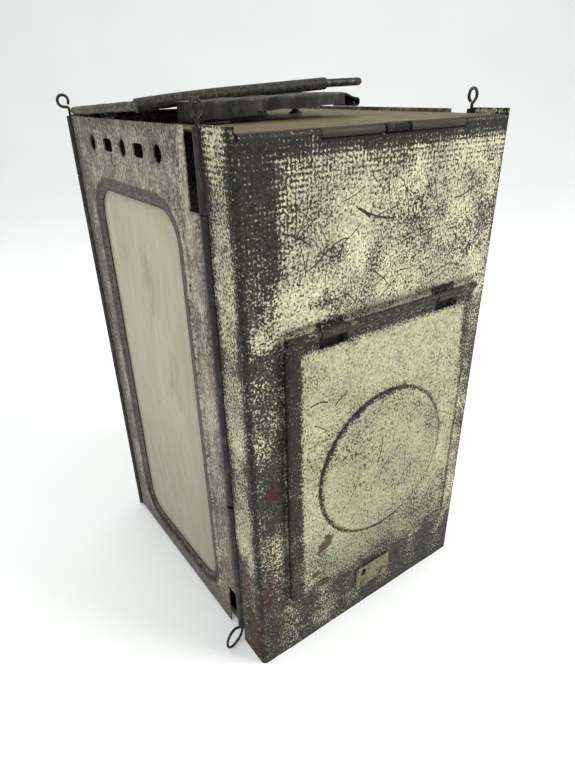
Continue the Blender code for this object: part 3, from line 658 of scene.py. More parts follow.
def centred_skin(name, rows, look_layers=None):
    """A thickened sheet whose rows of points run through the middle of its thickness."""
    mesh = skin(name, rows, look_layers, None)
    return smooth(baked(mesh, SOLIDIFY={"thickness": 0.5 * MM, "offset": 0.0, "use_even_offset": True}))


TURN_TO_AXIS = {
    "Z": Matrix.Identity(4),
    "Y": Matrix.Rotation(-math.pi / 2, 4, "X"),
    "-Y": Matrix.Rotation(math.pi / 2, 4, "X"),
}


def lathe(name, profile, centre, axis="Z", sides=64):
    """A turned solid, from a list of (radius, distance along the axis), closed on itself or on the axis."""
    turn = np.arange(sides) * math.tau / sides
    shape = bmesh.new()
    rings = []
    for radius, along in profile:
        if radius < 1e-6:
            rings.append([shape.verts.new((0, 0, along * MM))] * sides)
            continue
        places = [(radius * math.cos(a) * MM, radius * math.sin(a) * MM, along * MM) for a in turn]
        rings.append([shape.verts.new(at) for at in places])
    pairs = list(zip(rings, rings[1:]))
    if profile[0][0] > 1e-6 and profile[-1][0] > 1e-6:
        pairs.append((rings[-1], rings[0]))
    for low, high in pairs:
        for i in range(sides):
            j = (i + 1) % sides
            corners = []
            for vert in (low[i], low[j], high[j], high[i]):
                if vert not in corners:
                    corners.append(vert)
            shape.faces.new(corners)
    bmesh.ops.recalc_face_normals(shape, faces=shape.faces)
    shape.transform(Matrix.Translation(Vector(centre) * MM) @ TURN_TO_AXIS[axis])
    mesh = bpy.data.meshes.new(name)
    shape.to_mesh(mesh)
    shape.free()
    return smooth(mesh)


def wire(name, points, radius, look, body, nodes=(), sides=5, sizes=None):
    """A round wire along points, with domed ends. sizes, if given, scales the radius at each point."""
    points = [Vector(p) for p in points]
    swell = list(sizes or [1.0] * len(points))
    foot = (points[0] - points[1]).normalized() * radius
    tip = (points[-1] - points[-2]).normalized() * radius
    dome = ((0.5, 0.87), (0.85, 0.53), (1.0, 0.08))
    points = [points[0] + foot * reach for reach, _ in reversed(dome)] + points
    points += [points[-1] + tip * reach for reach, _ in dome]
    swell = [swell[0] * size for _, size in reversed(dome)] + swell
    swell += [swell[-1] * size for _, size in dome]
    curve = bpy.data.curves.new(name, "CURVE")
    curve.dimensions = "3D"
    curve.bevel_depth = radius * MM
    curve.bevel_resolution = sides
    curve.use_fill_caps = True
    spline = curve.splines.new("POLY")
    spline.points.add(len(points) - 1)
    for point, at, size in zip(spline.points, points, swell):
        point.co = (*(at * MM), 1)
        point.radius = size
    spline.use_smooth = True
    return add_piece(name, curve, look, body, nodes)


def softened(points, rounds=2):
    """The same path with its corners rounded off."""
    points = [np.array(p, float) for p in points]
    for _ in range(rounds):
        cut = [points[0]]
        for start, end in zip(points, points[1:]):
            cut += [start * 0.75 + end * 0.25, start * 0.25 + end * 0.75]
        points = cut + [points[-1]]
    return points


# Rolled knuckles on the four upright hinges


def knuckle(name, x, y, low, high, seam, body):
    """A sheet edge rolled round a hinge pin, open along a seam at that angle in plan (degrees)."""
    middle = KNUCKLE - 0.15
    plan = arc((x, y), middle, seam + 16, seam + 344, 30)
    heights = np.linspace(low, high, max(2, round((high - low) / 12)))
    rows = [[(*p, z) for p in plan[::-1]] for z in heights]
    return add_piece(name, centred_skin(name, rows), TUBE_LOOK, body)


def knuckles():
    for side, word in ((-1, "left"), (1, "right")):
        x = side * HALF_WIDTH
        seam = 35 if side < 0 else 145
        foot = FOOT_KNUCKLE if side < 0 else PANEL_LOW
        for tag, low, high in (("low", foot, LOW_BREAK), ("high", HIGH_BREAK, PANEL_HIGH)):
            knuckle(f"front_wall_{word}_{tag}_knuckle", x, FRONT_PINS, low, high, -seam, "case")
        for tag, low, high in (("low", PANEL_LOW, LOW_BREAK), ("high", HIGH_BREAK, PANEL_HIGH)):
            knuckle(f"rear_wall_{word}_{tag}_knuckle", x, REAR_PINS, low, high, seam, "case")
        body = "door" if side < 0 else "case"
        low_span = ("low", LOW_BREAK + 0.35, MIDDLE_BREAK - 0.6)
        high_span = ("high", MIDDLE_BREAK + 0.6, HIGH_BREAK - 0.35)
        for tag, low, high in (low_span, high_span):
            knuckle(f"{word}_panel_front_{tag}_knuckle", x, FRONT_PINS, low, high, seam, body)
            knuckle(f"{word}_panel_rear_{tag}_knuckle", x, REAR_PINS, low, high, -seam, body)


# Front wall

CORNER = 2.0
TRAY_FLAT = HALF_WIDTH - CORNER
TRAY_ARC = CORNER * math.pi / 2
TRAY_END = TRAY_FLAT + TRAY_ARC + (FRONT_PINS - (FRONT + SHEET / 2 + CORNER))
ROLL = 1.4
ROLL_END = ROOF_AXIS_Z + ROLL * 4.5
ROOF_SLOT_FLOOR = 215.0
LENS_HOLE = 26.5
DENT = (57.0, 213.6)


def tray(u, v, height):
    """The front tray: u runs along its plan from the middle, and v up, rolling inwards above the roof pin."""
    over = np.clip((v - ROOF_AXIS_Z) / ROLL, 0, None) * (np.abs(u) < 59.7)
    out = np.where(over > 0, (ROLL + SHEET / 2 + height) * np.cos(over) - ROLL, SHEET / 2 + height)
    up = np.where(over > 0, ROOF_AXIS_Z + (ROLL + SHEET / 2 + height) * np.sin(over), v)
    side, reach = np.sign(u), np.abs(u)
    turn = np.clip(reach - TRAY_FLAT, 0, TRAY_ARC) / CORNER
    x = np.minimum(reach, TRAY_FLAT) + CORNER * np.sin(turn) + np.sin(turn) * out
    y = FRONT + SHEET / 2 + CORNER * (1 - np.cos(turn)) + np.clip(reach - TRAY_FLAT - TRAY_ARC, 0, None)
    return side * x, y - np.cos(turn) * out, up


def front_outline():
    """The tray's blank, with tabs that roll over the roof pin, cut back where the panels' knuckles turn."""
    inset = TRAY_END - 2.2
    low, high, foot = LOW_BREAK - 0.15, HIGH_BREAK + 0.15, FOOT_KNUCKLE + 0.15
    right = [(TRAY_END, 0), (TRAY_END, low), (inset, low), (inset, high), (TRAY_END, high)]
    right += [(TRAY_END, HEIGHT), (59.8, HEIGHT)]
    top = [(59.8, ROOF_AXIS_Z), (58.6, ROOF_AXIS_Z), (58.6, ROLL_END), (ROOF_GAP[1], ROLL_END)]
    top += [(ROOF_GAP[1], ROOF_SLOT_FLOOR), (ROOF_GAP[0], ROOF_SLOT_FLOOR)]
    top += [(ROOF_GAP[0], ROLL_END), (-58.6, ROLL_END)]
    top += [(-58.6, ROOF_AXIS_Z), (-59.8, ROOF_AXIS_Z)]
    left = [(-59.8, HEIGHT), (-TRAY_END, HEIGHT), (-TRAY_END, high), (-inset, high), (-inset, low)]
    left += [(-TRAY_END, low), (-TRAY_END, foot), (-inset, foot), (-inset, 0)]
    return right + top + left


FRONT_STROKES = scratches(
    1,
    ((-45.4, 190.0), (-34.3, 184.4), 0.6, 1.5),
    ((-36.5, 176.4), (-28.5, 180.6), -0.5, 1.2),
    ((-28.0, 180.2), (-19.5, 184.6), 0.8, 1.0),
    ((-13.9, 193.2), (3.2, 188.2), -1.2, 1.6),
    ((-40.0, 199.0), (-40.6, 188.0), 0.4, 1.0),
    ((6.0, 200.0), (9.5, 184.0), 1.0, 0.9),
    ((21.0, 199.5), (27.5, 184.5), -0.7, 1.0),
    ((34.0, 191.0), (47.0, 195.5), -0.8, 1.2),
    ((38.0, 206.0), (35.5, 197.0), 0.5, 1.0),
    ((41.0, 184.0), (46.0, 176.0), 0.6, 0.9),
    ((12.0, 178.5), (23.0, 181.5), 0.9, 1.0),
    ((-8.0, 172.0), (2.0, 164.0), 0.6, 0.9),
    ((-20.0, 166.0), (-14.0, 160.5), 0.4, 1.0),
    ((24.0, 164.0), (36.0, 166.5), -0.5, 1.0),
    ((-52.0, 148.0), (-50.5, 133.0), 0.5, 0.8),
)
FRONT_STROKES += stray_strokes((-44, 54, 158, 202), 26, (5, 15), 101)


def lug_span(u, soft):
    """1 across each of the flap's lugs, fading over that distance beside it."""
    return sum(ramp(u, low - soft, low) * (1 - ramp(u, high, high + soft)) for low, high in LUGS)


def front_wear(u, v):
    """Bare metal round the corner, up the left strip, along the top and foot, and in hollows of the face."""
    reach = np.abs(u)
    face = reach < 60
    corner = 0.95 * ridge(reach, 60.4, 2.6)
    strip = (u < -44) * face * 0.92 * ramp(-u, 44, 50) * ramp(v, 152, 182)
    low_strip = face * (0.60 + 0.25 * ridge(v, 86, 17)) * ramp(-u, 45, 49) * (1 - ramp(v, 150, 156))
    beside = (u >= -46) * 0.35 * (1 - ramp(u, -46, -30)) * ramp(v, 165, 205)
    band = (0.22 * ramp(v, 199, 209) + 1.4 * ramp(v, 210.0, 213.6)) * face
    foot = 0.55 * (1 - ramp(v, 24, 34)) + 0.5 * (1 - ramp(v, 1.5, 6.5))
    foot = foot + 0.35 * (1 - ramp(v, 26, 32)) * np.sin(u * 0.16 + 1.2) ** 2
    flange = 0.75 * (1 - ramp(reach, 62.0, 65.5)) + 0.75 * ramp(reach, TRAY_END - 6.5, TRAY_END - 2)
    flange = (reach > 61.6) * flange
    flange = flange + (reach > 62) * (0.12 * np.sin(v * 0.13 + 1.0) + 0.35 * (1 - ramp(v, 20, 60)))
    hollow = blots(u, v, (
        ((-24.3, 181), 9, 0.7, 0.5), ((-5.2, 176), 7, 1.0, 0.45), ((-28, 165), 7, 0.8, 0.45),
        ((57, 213.8), 3.5, 1.2, 0.5), ((12, 190), 12, 0.6, 0.35), ((40, 172), 10, 0.7, 0.3),
    ))
    under = 0.9 * lug_span(u, 1.5) * ramp(v, 146, 148) * (1 - ramp(v, 157, 159))
    clean = blots(u, v, (((54.2, 208.5), 7, 1.0, 0.4), ((-30, 192), 22, 0.6, 0.25)))
    right = 0.22 * ramp(u, 46, 58) * (1 - ramp(v, 150, 190)) * face
    wear = np.maximum.reduce([corner, band, foot, strip, low_strip, beside, under, right, flange])
    return wear + hollow - clean * face + 0.03


def front_rust(u, v):
    return blots(u, v, (
        ((-52.1, 94.9), 6.5, 1.2, 0.95), ((-57.2, 43.2), 4.5, 4.0, 0.75), ((-41.6, 11.8), 9, 0.5, 0.6),
        ((-66.0, 12.0), 8.5, 2.6, 0.95), ((-28.3, 165.1), 5, 1.0, 0.45), ((-54.0, 60.0), 5, 1.5, 0.4),
        ((-20.0, 8.0), 9, 0.6, 0.4), ((52.0, 30.0), 7, 1.0, 0.3), ((66.0, 30.0), 8, 2.5, 0.5),
        ((-76.0, 190.0), 4.0, 9.0, 0.6), ((-75.0, 110.0), 4.0, 8.0, 0.45), ((-70.0, 40.0), 8.0, 3.5, 0.6),
    ))


def front_dirt_and_shade(u, v):
    """Dark round the corner bend, along the rolled top and the foot, low on the face and at the upper left;
    painted shadow beside the flap's left edge, under its bottom edge, under its lugs, in the roof slot and in
    the gap beside the hinge knuckles by the hinge pins, and painted shade in the crease above the flap's
    rolled top.
    """
    reach = np.abs(u)
    # painted shadow in the gap beside the hinge knuckle, at the flange's end; the band round the corner bend
    # is darker too
    corner = 0.5 * ridge(reach, 60.9, 1.9) + 0.6 * ramp(reach, TRAY_END - 2.6, TRAY_END - 0.4)
    # painted shadow beside the flap's left edge
    beside = 0.93 * ridge(u, -47.9, 2.2) * (1 - ramp(v, 154, 157)) * ramp(v, 27, 31)
    # painted shadow under the flap's bottom edge
    below = 0.6 * ridge(v, 29.6, 2.2) * (u > -48) * (u < 52)
    low = 0.30 * (1 - ramp(v, 22, 32)) * (0.5 + 0.5 * np.sin(u * 0.13 + 2.4)) * (reach < 60)
    # painted shade in the crease above the flap's rolled top
    above = 0.75 * ridge(v, 157.0, 2.4) * ramp(u, -48, -45) * (1 - ramp(u, 49, 52))
    # painted shadow on the wall behind and under the flap's lugs
    lugs = 0.95 * lug_span(u, 0.8) * ramp(v, 145.5, 147) * (1 - ramp(v, 154, 156))
    rolled = 0.55 * ramp(v, 212.3, 213.6) * (reach < 59.5)
    # painted shade in the roof slot under the roof's knuckle
    slot = 0.9 * ramp(v, 213.2, 214.2) * (u > ROOF_GAP[0] - 0.5) * (u < ROOF_GAP[1] + 0.5)
    top_left = 0.35 * (u < -46) * (reach < 60) * ramp(v, 160, 185)
    foot = 0.4 * (1 - ramp(v, 0.5, 3.0))
    return np.maximum.reduce([corner, beside, below, low, above, lugs, rolled, slot, top_left, foot])


def front_weave(u, v):
    """Where the crossed hatch shows through: along the top and down the upper left."""
    top = ramp(v, 200, 206)
    left = ramp(v, 160, 200) * (1 - ramp(u, -38, -24)) * (u > -60)
    return np.maximum(top, left)


def front_relief(u, v):
    flat = 1 - ramp(np.abs(u), 50, 58)
    height = ripple(u, v, 11, 0.16) * flat * (1 - ramp(v, 200, 212))
    height -= 0.5 * blot(u, v, DENT, 2.4, 1.3)
    height -= 0.35 * blot(u, v, (-24, 181), 9, 0.6) + 0.25 * blot(u, v, (30, 186), 12)
    height += 0.2 * blot(u, v, (-30, 165), 8, 0.8)
    return height


def front_wall():
    bends = [side * (TRAY_FLAT + TRAY_ARC * i / 8) for i in range(9) for side in (-1, 1)]
    rolls = [ROOF_AXIS_Z + ROLL * 4.5 * i / 16 for i in range(16)]
    holes = [circle((DISC_X, DISC_Z), LENS_HOLE, 1.5)]
    holes += [circle(at, 1.0, steps=12) for at in CATCH_RIVETS]
    mesh = sheet(
        "front_wall_sheet", front_outline(), tray, holes, 1.9, bends, rolls,
        [circle(DENT, r, 0.7) for r in (0.8, 1.6)], FRONT_STROKES, front_relief,
        {"wear": front_wear, "rust": front_rust, "dirt_and_shade": front_dirt_and_shade, "weave": front_weave},
    )
    add_piece("front_wall_sheet", mesh, FRONT_LOOK, "case", ["front_wall"])


def flap_lugs():
    """Tongues of the front wall that roll round the flap's pin."""
    tongue = [(FRONT + 0.2, 150.6), (FRONT - 0.5, 150.9), (-70.6, 151.6), (-71.6, 152.4)]
    profile = softened(tongue, 1) + list(arc((FLAP_AXIS_Y, FLAP_AXIS_Z), 1.35, 215, -70, 26))
    # painted shade on each lug's tongue below its roll, where it runs into the flap's slot
    layers = {"wear": even(1.3), "dirt_and_shade": lambda p: 0.15 + 0.7 * (p[:, 2] < 152.6)}
    for number, (low, high) in enumerate(LUGS, 1):
        name = f"flap_lug_{number}"
        rows = [[(x, *p) for p in profile] for x in np.linspace(low, high, 7)]
        add_piece(name, centred_skin(name, rows, layers), FRONT_LOOK, "case")


# Flap

FLAP_SHOULDER = (-45.5, 49.5, 32.0, 400.0)
FLAP_EDGE = math.pi / 2
FLAP_SKIRT = FLAP_EDGE + 0.8
FLAP_ROLL = 1.3
FLAP_ROLL_END = FLAP_AXIS_Z + FLAP_ROLL * 4.3
FLAP_CORNER = 2.0
FLAP_ROLL_SPAN = (-46.3, 50.3)


def folded(u, v, height, box, radius, bend=1.0):
    """Bends what lies beyond a rounded rectangle down round a shoulder with that radius of bend."""
    beyond = rounded_distance(u, v, box, radius)
    nudge = 0.01
    du = (rounded_distance(u + nudge, v, box, radius) - beyond) / nudge
    dv = (rounded_distance(u, v + nudge, box, radius) - beyond) / nudge
    past = np.maximum(beyond, 0)
    quarter = bend * math.pi / 2
    turn = np.minimum(past, quarter) / bend
    shift = bend * np.sin(turn) - past
    drop = bend * (1 - np.cos(turn)) + np.maximum(past - quarter, 0)
    return u + du * shift, v + dv * shift, height - drop


def flap_place(u, v, height):
    """u runs along X and v up; the rim folds back, and above its pin the sheet rolls round it."""
    over = np.clip((v - FLAP_AXIS_Z) / FLAP_ROLL, 0, None)
    radius = FLAP_ROLL + 0.3 + height
    rolled = over > 0
    x, z, out = folded(u, np.minimum(v, FLAP_AXIS_Z), height, FLAP_SHOULDER, FLAP_CORNER)
    lift = 1.4 * ramp(v, 152.0, FLAP_AXIS_Z)
    y = np.where(rolled, FLAP_AXIS_Y - radius * np.cos(over), FLAP_FACE - out - lift)
    z = np.where(rolled, FLAP_AXIS_Z + radius * np.sin(over), z)
    x = np.where(rolled, np.clip(u, *FLAP_ROLL_SPAN), x)
    return x, y, z


def flap_outline():
    left, right = FLAP_SHOULDER[0] - FLAP_SKIRT, FLAP_SHOULDER[1] + FLAP_SKIRT
    foot = FLAP_SHOULDER[2] - FLAP_SKIRT
    corner = FLAP_CORNER + FLAP_SKIRT
    curl_left, curl_right = FLAP_ROLL_SPAN
    skirt_top, slot_foot = 151.0, 148.4
    outline = [*arc((left + corner, foot + corner), corner, 180, 270, 8)]
    outline += [*arc((right - corner, foot + corner), corner, 270, 360, 8)]
    outline += [(right, skirt_top), (curl_right, skirt_top), (curl_right, FLAP_ROLL_END)]
    for low, high in reversed(LUGS):
        slot_left, slot_right = low - 0.35, high + 0.35
        outline += [(slot_right, FLAP_ROLL_END), (slot_right, slot_foot)]
        outline += [(slot_left, slot_foot), (slot_left, FLAP_ROLL_END)]
    return outline + [(curl_left, FLAP_ROLL_END), (curl_left, skirt_top), (left, skirt_top)]


def inside_rim(u, v):
    """How far inside the flap's shoulder each point lies."""
    return -rounded_distance(u, v, FLAP_SHOULDER, FLAP_CORNER)


def round_disc(u, v):
    """The distance from the disc's centre, and how near the point lies to its upper left, from 0 to 1."""
    around = np.degrees(np.arctan2(v - DISC_Z, u - DISC_X))
    return np.hypot(u - DISC_X, v - DISC_Z), 0.5 + 0.5 * np.cos(np.radians(around - 150))


def flap_relief(u, v):
    away, _ = round_disc(u, v)
    edge = inside_rim(u, v)
    height = 1.25 * (1 - ramp(away, DISC_RADIUS - 1.9, DISC_RADIUS))
    height -= 0.18 * ridge(away, DISC_RADIUS + 0.9, 1.0)
    height += 0.25 * (1 - ramp(away, 10, 33)) - 0.1 * ridge(away, 31.0, 1.6)
    height -= 0.22 * ridge(edge, 3.4, 0.8) + 0.12 * ramp(edge, 2.6, 4.0)
    calm = ramp(edge, 1.0, 6.0) * (1 - ramp(v, 143, 150))
    return height + ripple(u, v, 23, 0.12) * calm


FLAP_STROKES = scratches(
    31,
    ((-36.0, 127.0), (-28.5, 126.0), 0.8, 1.5),
    ((-24.5, 123.5), (-19.5, 127.0), 0.3, 1.3),
    ((0.5, 100.0), (-1.2, 87.5), 0.5, 1.2),
    ((-12.0, 82.5), (-16.5, 74.0), -0.4, 0.9),
    ((11.0, 95.0), (9.0, 89.0), 0.3, 0.8),
    ((33.0, 130.5), (31.0, 123.5), 0.6, 1.1),
    ((-37.5, 108.5), (-26.0, 109.5), 0.4, 0.7),
    ((-34.0, 118.0), (-29.0, 113.5), 0.3, 0.9),
    ((-34.5, 50.0), (-30.5, 43.5), 0.5, 1.1),
)
FLAP_STROKES += stray_strokes((-36, 46, 40, 140), 10, (4, 10), 131)


def flap_wear_and_shade(u, v):
    """Bare metal along every border and in the ring round the disc, the ring widened and darkened at the
    disc's upper left as painted shade; darker over the lower part.
    """
    away, upper_left = round_disc(u, v)
    # painted shade: the ring round the disc is wider and darker at its upper left, the side turned from the
    # light
    ring = ridge(away, DISC_RADIUS + 0.2, 1.3 + 0.7 * upper_left) * (0.75 + 0.35 * upper_left)
    edge = inside_rim(u, v)
    left = 1.25 * (1 - ramp(u, -41.8, -39.6))
    widening = ramp(v, 110, 140)
    right = (1 - ramp(50.5 - u, 1.6 + 3.0 * widening, 3.0 + 3.6 * widening)) * 0.85
    rim = (1 - ramp(edge, -0.4, 1.2)) * 0.8
    top = 1.08 * ramp(v, 146.6, 149.4)
    foot = 0.35 * (1 - ramp(v, 31, 38))
    line = 0.3 * ridge(edge, 3.4, 0.7) * (u > 0)
    # darker towards the bottom
    lower = 0.50 * (1 - ramp(v, 36, 76)) * (0.6 + 0.4 * ramp(u, 0, 40))
    lower += 0.28 * blot(u, v, (-34, 42), 14)
    streaked = 0.35 * blot(u, v, (34, 98), 12, 1.6) * (away < DISC_RADIUS)
    return np.maximum.reduce([ring, left, right, rim, top, foot]) + line + lower + streaked


def flap_dirt_and_shade(u, v):
    """Dirt along the left border and the top and inside the rolled top, and a little over the disc; painted
    shade on the rim's skirt, deeper on the left, and beside the lug slots; dirt and painted shade in the ring
    round the disc, deepest at its upper left; darker over the lower part.
    """
    away, upper_left = round_disc(u, v)
    edge = inside_rim(u, v)
    left = 0.60 * (1 - ramp(u, -42.2, -40.8)) * (0.8 + 0.2 * ramp(v, 60, 120))
    # painted shade on the skirt round the rim, deeper on the left side
    skirt = (1 - ramp(edge, -1.5, -0.7)) * np.where(u < 0, 0.93, 0.5)
    top = 0.5 * ramp(v, 147.6, 149.4)
    # dirt and painted shade in the ring round the disc, deeper at its upper left
    ring = 0.9 * ridge(away, DISC_RADIUS + 0.5, 1.0) * (0.7 + 0.3 * upper_left)
    # painted shade beside the slots round the lugs
    lugs = 0.8 * sum(ridge(u, side, 1.3) for pair in LUGS for side in (pair[0] - 0.6, pair[1] + 0.6))
    disc = 0.12 * (1 - ramp(away, 30, 34))
    # darker towards the bottom
    low = 0.42 * (1 - ramp(v, 34, 62)) * ramp(u, -36, -10)
    return np.maximum.reduce([left, skirt, top, ring, lugs * ramp(v, 147, 149), disc, low])


def flap_rust(u, v):
    return blots(u, v, (
        ((-27.6, 57.0), 5.0, 1.0, 1.0), ((-31.0, 52.5), 4.0, 1.5, 0.7), ((-33.7, 40.5), 5.5, 0.8, 0.7),
        ((-30.0, 33.5), 10.0, 0.35, 0.6), ((3.5, 119.5), 8.0, 0.25, 0.6), ((4.5, 85.5), 1.6, 1.4, 0.7),
        ((40.0, 92.0), 5.0, 1.0, 0.35), ((-39.0, 151.5), 12.0, 0.3, 0.45), ((-42.5, 76.0), 4.0, 4.0, 0.35),
        ((14.0, 120.5), 5.0, 0.4, 0.6), ((44.0, 60.0), 5.0, 2.5, 0.3),
    ))


def flap():
    rings = [circle((DISC_X, DISC_Z), r, 1.0) for r in (32.2, 32.9, 33.5, 34.1, 34.7, 35.4, 36.2)]
    for by in (-4.4, -3.4, -2.4, -0.8, 0.0, 0.4, 0.8, 1.2, FLAP_EDGE):
        rings.append(rounded(grown(FLAP_SHOULDER, by), FLAP_CORNER + max(by, -1.6), 6, 1.2))
    rolls = [150.9, 151.6, 152.3, 153.0, 153.6]
    rolls += [FLAP_AXIS_Z + FLAP_ROLL * 4.3 * i / 14 for i in range(14)]
    mesh = sheet(
        "flap_sheet", flap_outline(), flap_place, (), 1.7, (), rolls, rings, FLAP_STROKES, flap_relief,
        {"wear": flap_wear_and_shade, "rust": flap_rust, "dirt_and_shade": flap_dirt_and_shade}, 0.5,
    )
    add_piece("flap_sheet", mesh, FLAP_LOOK, "flap", ["flap"])


# Glass behind the flap


def signal_glass():
    inner = FRONT + SHEET + 0.35
    bulge, reach = 0.54, 27.0
    profile = [(0, 2.0), (28.2, 2.0), (28.8, 1.7), (29.0, 1.2), (29.0, 0.6), (28.6, 0.2), (27.6, 0.0)]
    profile += [(r, -bulge * (1 - (r / reach) ** 2)) for r in np.linspace(reach, 0, 14)]
    mesh = lathe("signal_lens", profile, (DISC_X, inner, DISC_Z), "Y", 72)
    add_piece("signal_lens", mesh, GLASS_LOOK, "case", ["signal_glass"])
    ring = [(29.4, 0.1), (31.6, 0.1), (32.0, 0.5), (32.0, 2.9), (31.7, 3.2), (26.3, 3.2)]
    ring += [(26.0, 2.95), (26.3, 2.7), (29.0, 2.6), (29.4, 2.3)]
    mesh = lathe("lens_ring", ring, (DISC_X, inner, DISC_Z), "Y", 72)
    add_piece("lens_ring", mesh, INNER_LOOK, "case", ["glass_retainer"])


# Catch below the flap


def flap_catch():
    box = (-7.5, 13.6, 12.5, 24.6)
    nub_at = (0.6, 22.4)
    hole = [(-3.2 + 1.7 * c, 21.3 + 2.3 * s) for c, s in circle((0, 0), 1, steps=24)]
    rivet_holes = [circle(at, 1.3, steps=14) for at in CATCH_RIVETS]

    def relief(u, v):
        nub = 0.95 * (1 - ramp(np.hypot(u - nub_at[0], v - nub_at[1]), 0.3, 1.6))
        lip = -0.25 * (1 - ramp(-rounded_distance(u, v, box, 1.0), 0, 1.0))
        return nub + lip + 0.15 * ridge(v, 18.5, 2.5)

    def place(u, v, height):
        return u, FRONT - 1.05 - height, v

    def wear(u, v):
        # painted shadow along the plate's left edge, where it stands off the wall
        return 0.9 * (1 - ramp(u, -7.0, -5.6)) + 0.55 * (1 - ramp(v, 12.5, 15)) + 0.25 * ramp(v, 21, 24)

    mesh = sheet(
        "catch_sheet", rounded(box, 1.0, 4), place, [hole, *rivet_holes], 0.9,
        rings=[circle(nub_at, r, 0.5) for r in (0.3, 0.7, 1.15, 1.6)], relief=relief,
        layers={"wear": wear, "rust": lambda u, v: 0.4 * blot(u, v, (9, 16), 6)}, thickness=0.6,
    )
    add_piece("catch_sheet", mesh, CATCH_LOOK, "catch", ["flap_catch"])
    head = [(0, 1.35), (0.6, 1.3), (1.1, 1.1), (1.5, 0.8), (1.75, 0.4), (1.8, 0.0)]
    shank = [(0.7, 0.0), (0.7, -2.4), (0, -2.4)]
    for word, (x, z) in zip(("left", "right"), CATCH_RIVETS):
        mesh = lathe(f"catch_rivet_head_{word}", head + shank, (x, FRONT - 1.45, z), "-Y", 24)
        add_piece(f"catch_rivet_head_{word}", mesh, CATCH_LOOK, "case", [f"catch_rivet_{word}"])


# Side panels and their windows


def off_window(u, v):
    """How far each point lies outside the window's opening, with a minus sign inside it."""
    return rounded_distance(u, v, GLASS, GLASS_CORNER)


def side_place(side, offset):
    """Stands a sheet upright beside the case: u runs back and v up."""

    def place(u, v, height):
        return np.full(len(u), side * offset) + side * height, u, v

    return place


def panel_relief(u, v):
    away = off_window(u, v)
    rise = 0.85 * (1 - ramp(away, 5.4, 6.9))
    fall = -1.15 * (1 - ramp(away, 0.2, 5.2))
    calm = ramp(away, 6.8, 9.5) * (1 - ramp(np.abs(v - VENT_Z), 0, 6))
    return rise + fall + ripple(u, v, 5, 0.1) * calm


def panel_wear_and_highlight(u, v):
    away = off_window(u, v)
    inner = 0.75 * (1 - ramp(away, 4.6, 5.6))
    # painted highlight along the bead's outer step, brighter higher up
    lit = 0.75 * ridge(away, 6.3, 0.9) * (0.4 + 0.6 * ramp(v, 60, 160))
    front = 0.35 * (1 - ramp(u, FRONT_PINS + 1, FRONT_PINS + 7))
    specked = 0.55 * ridge(u, -40.0, 4.5) * ramp(v, 40, 110) + 0.35 * ridge(v, 203, 6) * (1 - ramp(u, 0, 40))
    rear = 0.5 * ramp(u, 58, 66)
    bottom = 0.45 * (1 - ramp(v, 2, 30))
    top = 0.35 * ramp(v, 214, 219)
    vents = sum(0.4 * blot(u, v, (y, VENT_Z), 5.5) for y in (*ROUND_VENTS, *SLOT_VENTS))
    return np.maximum.reduce([inner, front, rear, bottom, top]) - lit - specked + 0.4 * vents + 0.30


def panel_dirt_and_shade(u, v):
    """Painted shadow against the front hinge's knuckle; dirt over the bead, with painted shade on its sides,
    most at the front; painted shade in the step beside the mica and on the bead's outer step at the sides;
    dirt round the vents.
    """
    away = off_window(u, v)
    # painted shadow on the strip beside the front knuckle
    hinge = 0.9 * (1 - ramp(u, FRONT_PINS + 2.2, FRONT_PINS + 5.0))
    hinge = hinge * (v > LOW_BREAK - 1) * (v < HIGH_BREAK + 1)
    # painted shade: the sides of the bead darker, most at the front, as turned from the light
    side = 0.62 * ramp(GLASS[0] + 4 - u, 0, 4) + 0.25 * ramp(u, GLASS[1] - 4, GLASS[1])
    bead = (0.30 + 0.3 * side) * (away < 5.5) * (1 - 0.75 * ridge(away, 1.9, 0.9))
    # painted shade in the step beside the mica and on the bead's outer step at the sides
    step = 0.6 * ridge(away, 0.4, 0.9) + 0.5 * ridge(away, 6.9, 0.5) * side
    lines = sum(0.6 * ridge(np.hypot(u - y, v - VENT_Z), 3.5, 0.9) for y in ROUND_VENTS)
    return np.maximum.reduce([hinge, bead, step, lines])


def panel_rust(u, v):
    away = off_window(u, v)
    drips = 0.75 * ridge(u, 23.5, 2.6) * ramp(v, 196, 204) * (1 - ramp(v, 206, 208))
    drips += 0.6 * ridge(u, 19.5, 1.6) * ramp(v, 197, 203) * (1 - ramp(v, 206, 208))
    along = ridge(v, 205, 12) + ridge(v, 95, 18) + 0.7 * ridge(v, 150, 20)
    edge = 0.5 * ridge(u, FRONT_PINS + 5.0, 2.0) * along
    foot = 0.55 * blot(u, v, (30, 10), 14, 0.5) + 0.4 * blot(u, v, (64, 120), 8, 6)
    crown = 0.35 * ridge(u, 22, 6) * ramp(v, 208, 218)
    bead = 0.2 * (1 - ramp(away, 4.8, 5.6)) + 0.6 * ridge(away, 3.0, 2.6) * (1 - ramp(v, 24, 40))
    return drips + edge + foot + crown + bead


def mica_edge(u, v):
    return 1 - ramp(-off_window(u, v), 0.3, 3.6)


def mica_darkening(u, v):
    # darker and yellower towards the bottom, with a faint upright band
    return 0.9 * (1 - ramp(v, 20, 165)) + 0.3 * ridge(u, -22, 8)


def mica_rust(u, v):
    streak = 0.9 * ridge(u, 6, 8) * ramp(v, 120, 150) * (1 - ramp(v, 165, 182))
    stains = (((-6, 118), 12, 1.6, 0.7), ((20, 60), 10, 2, 0.5), ((30, 170), 8, 2, 0.4))
    return streak + blots(u, v, stains)


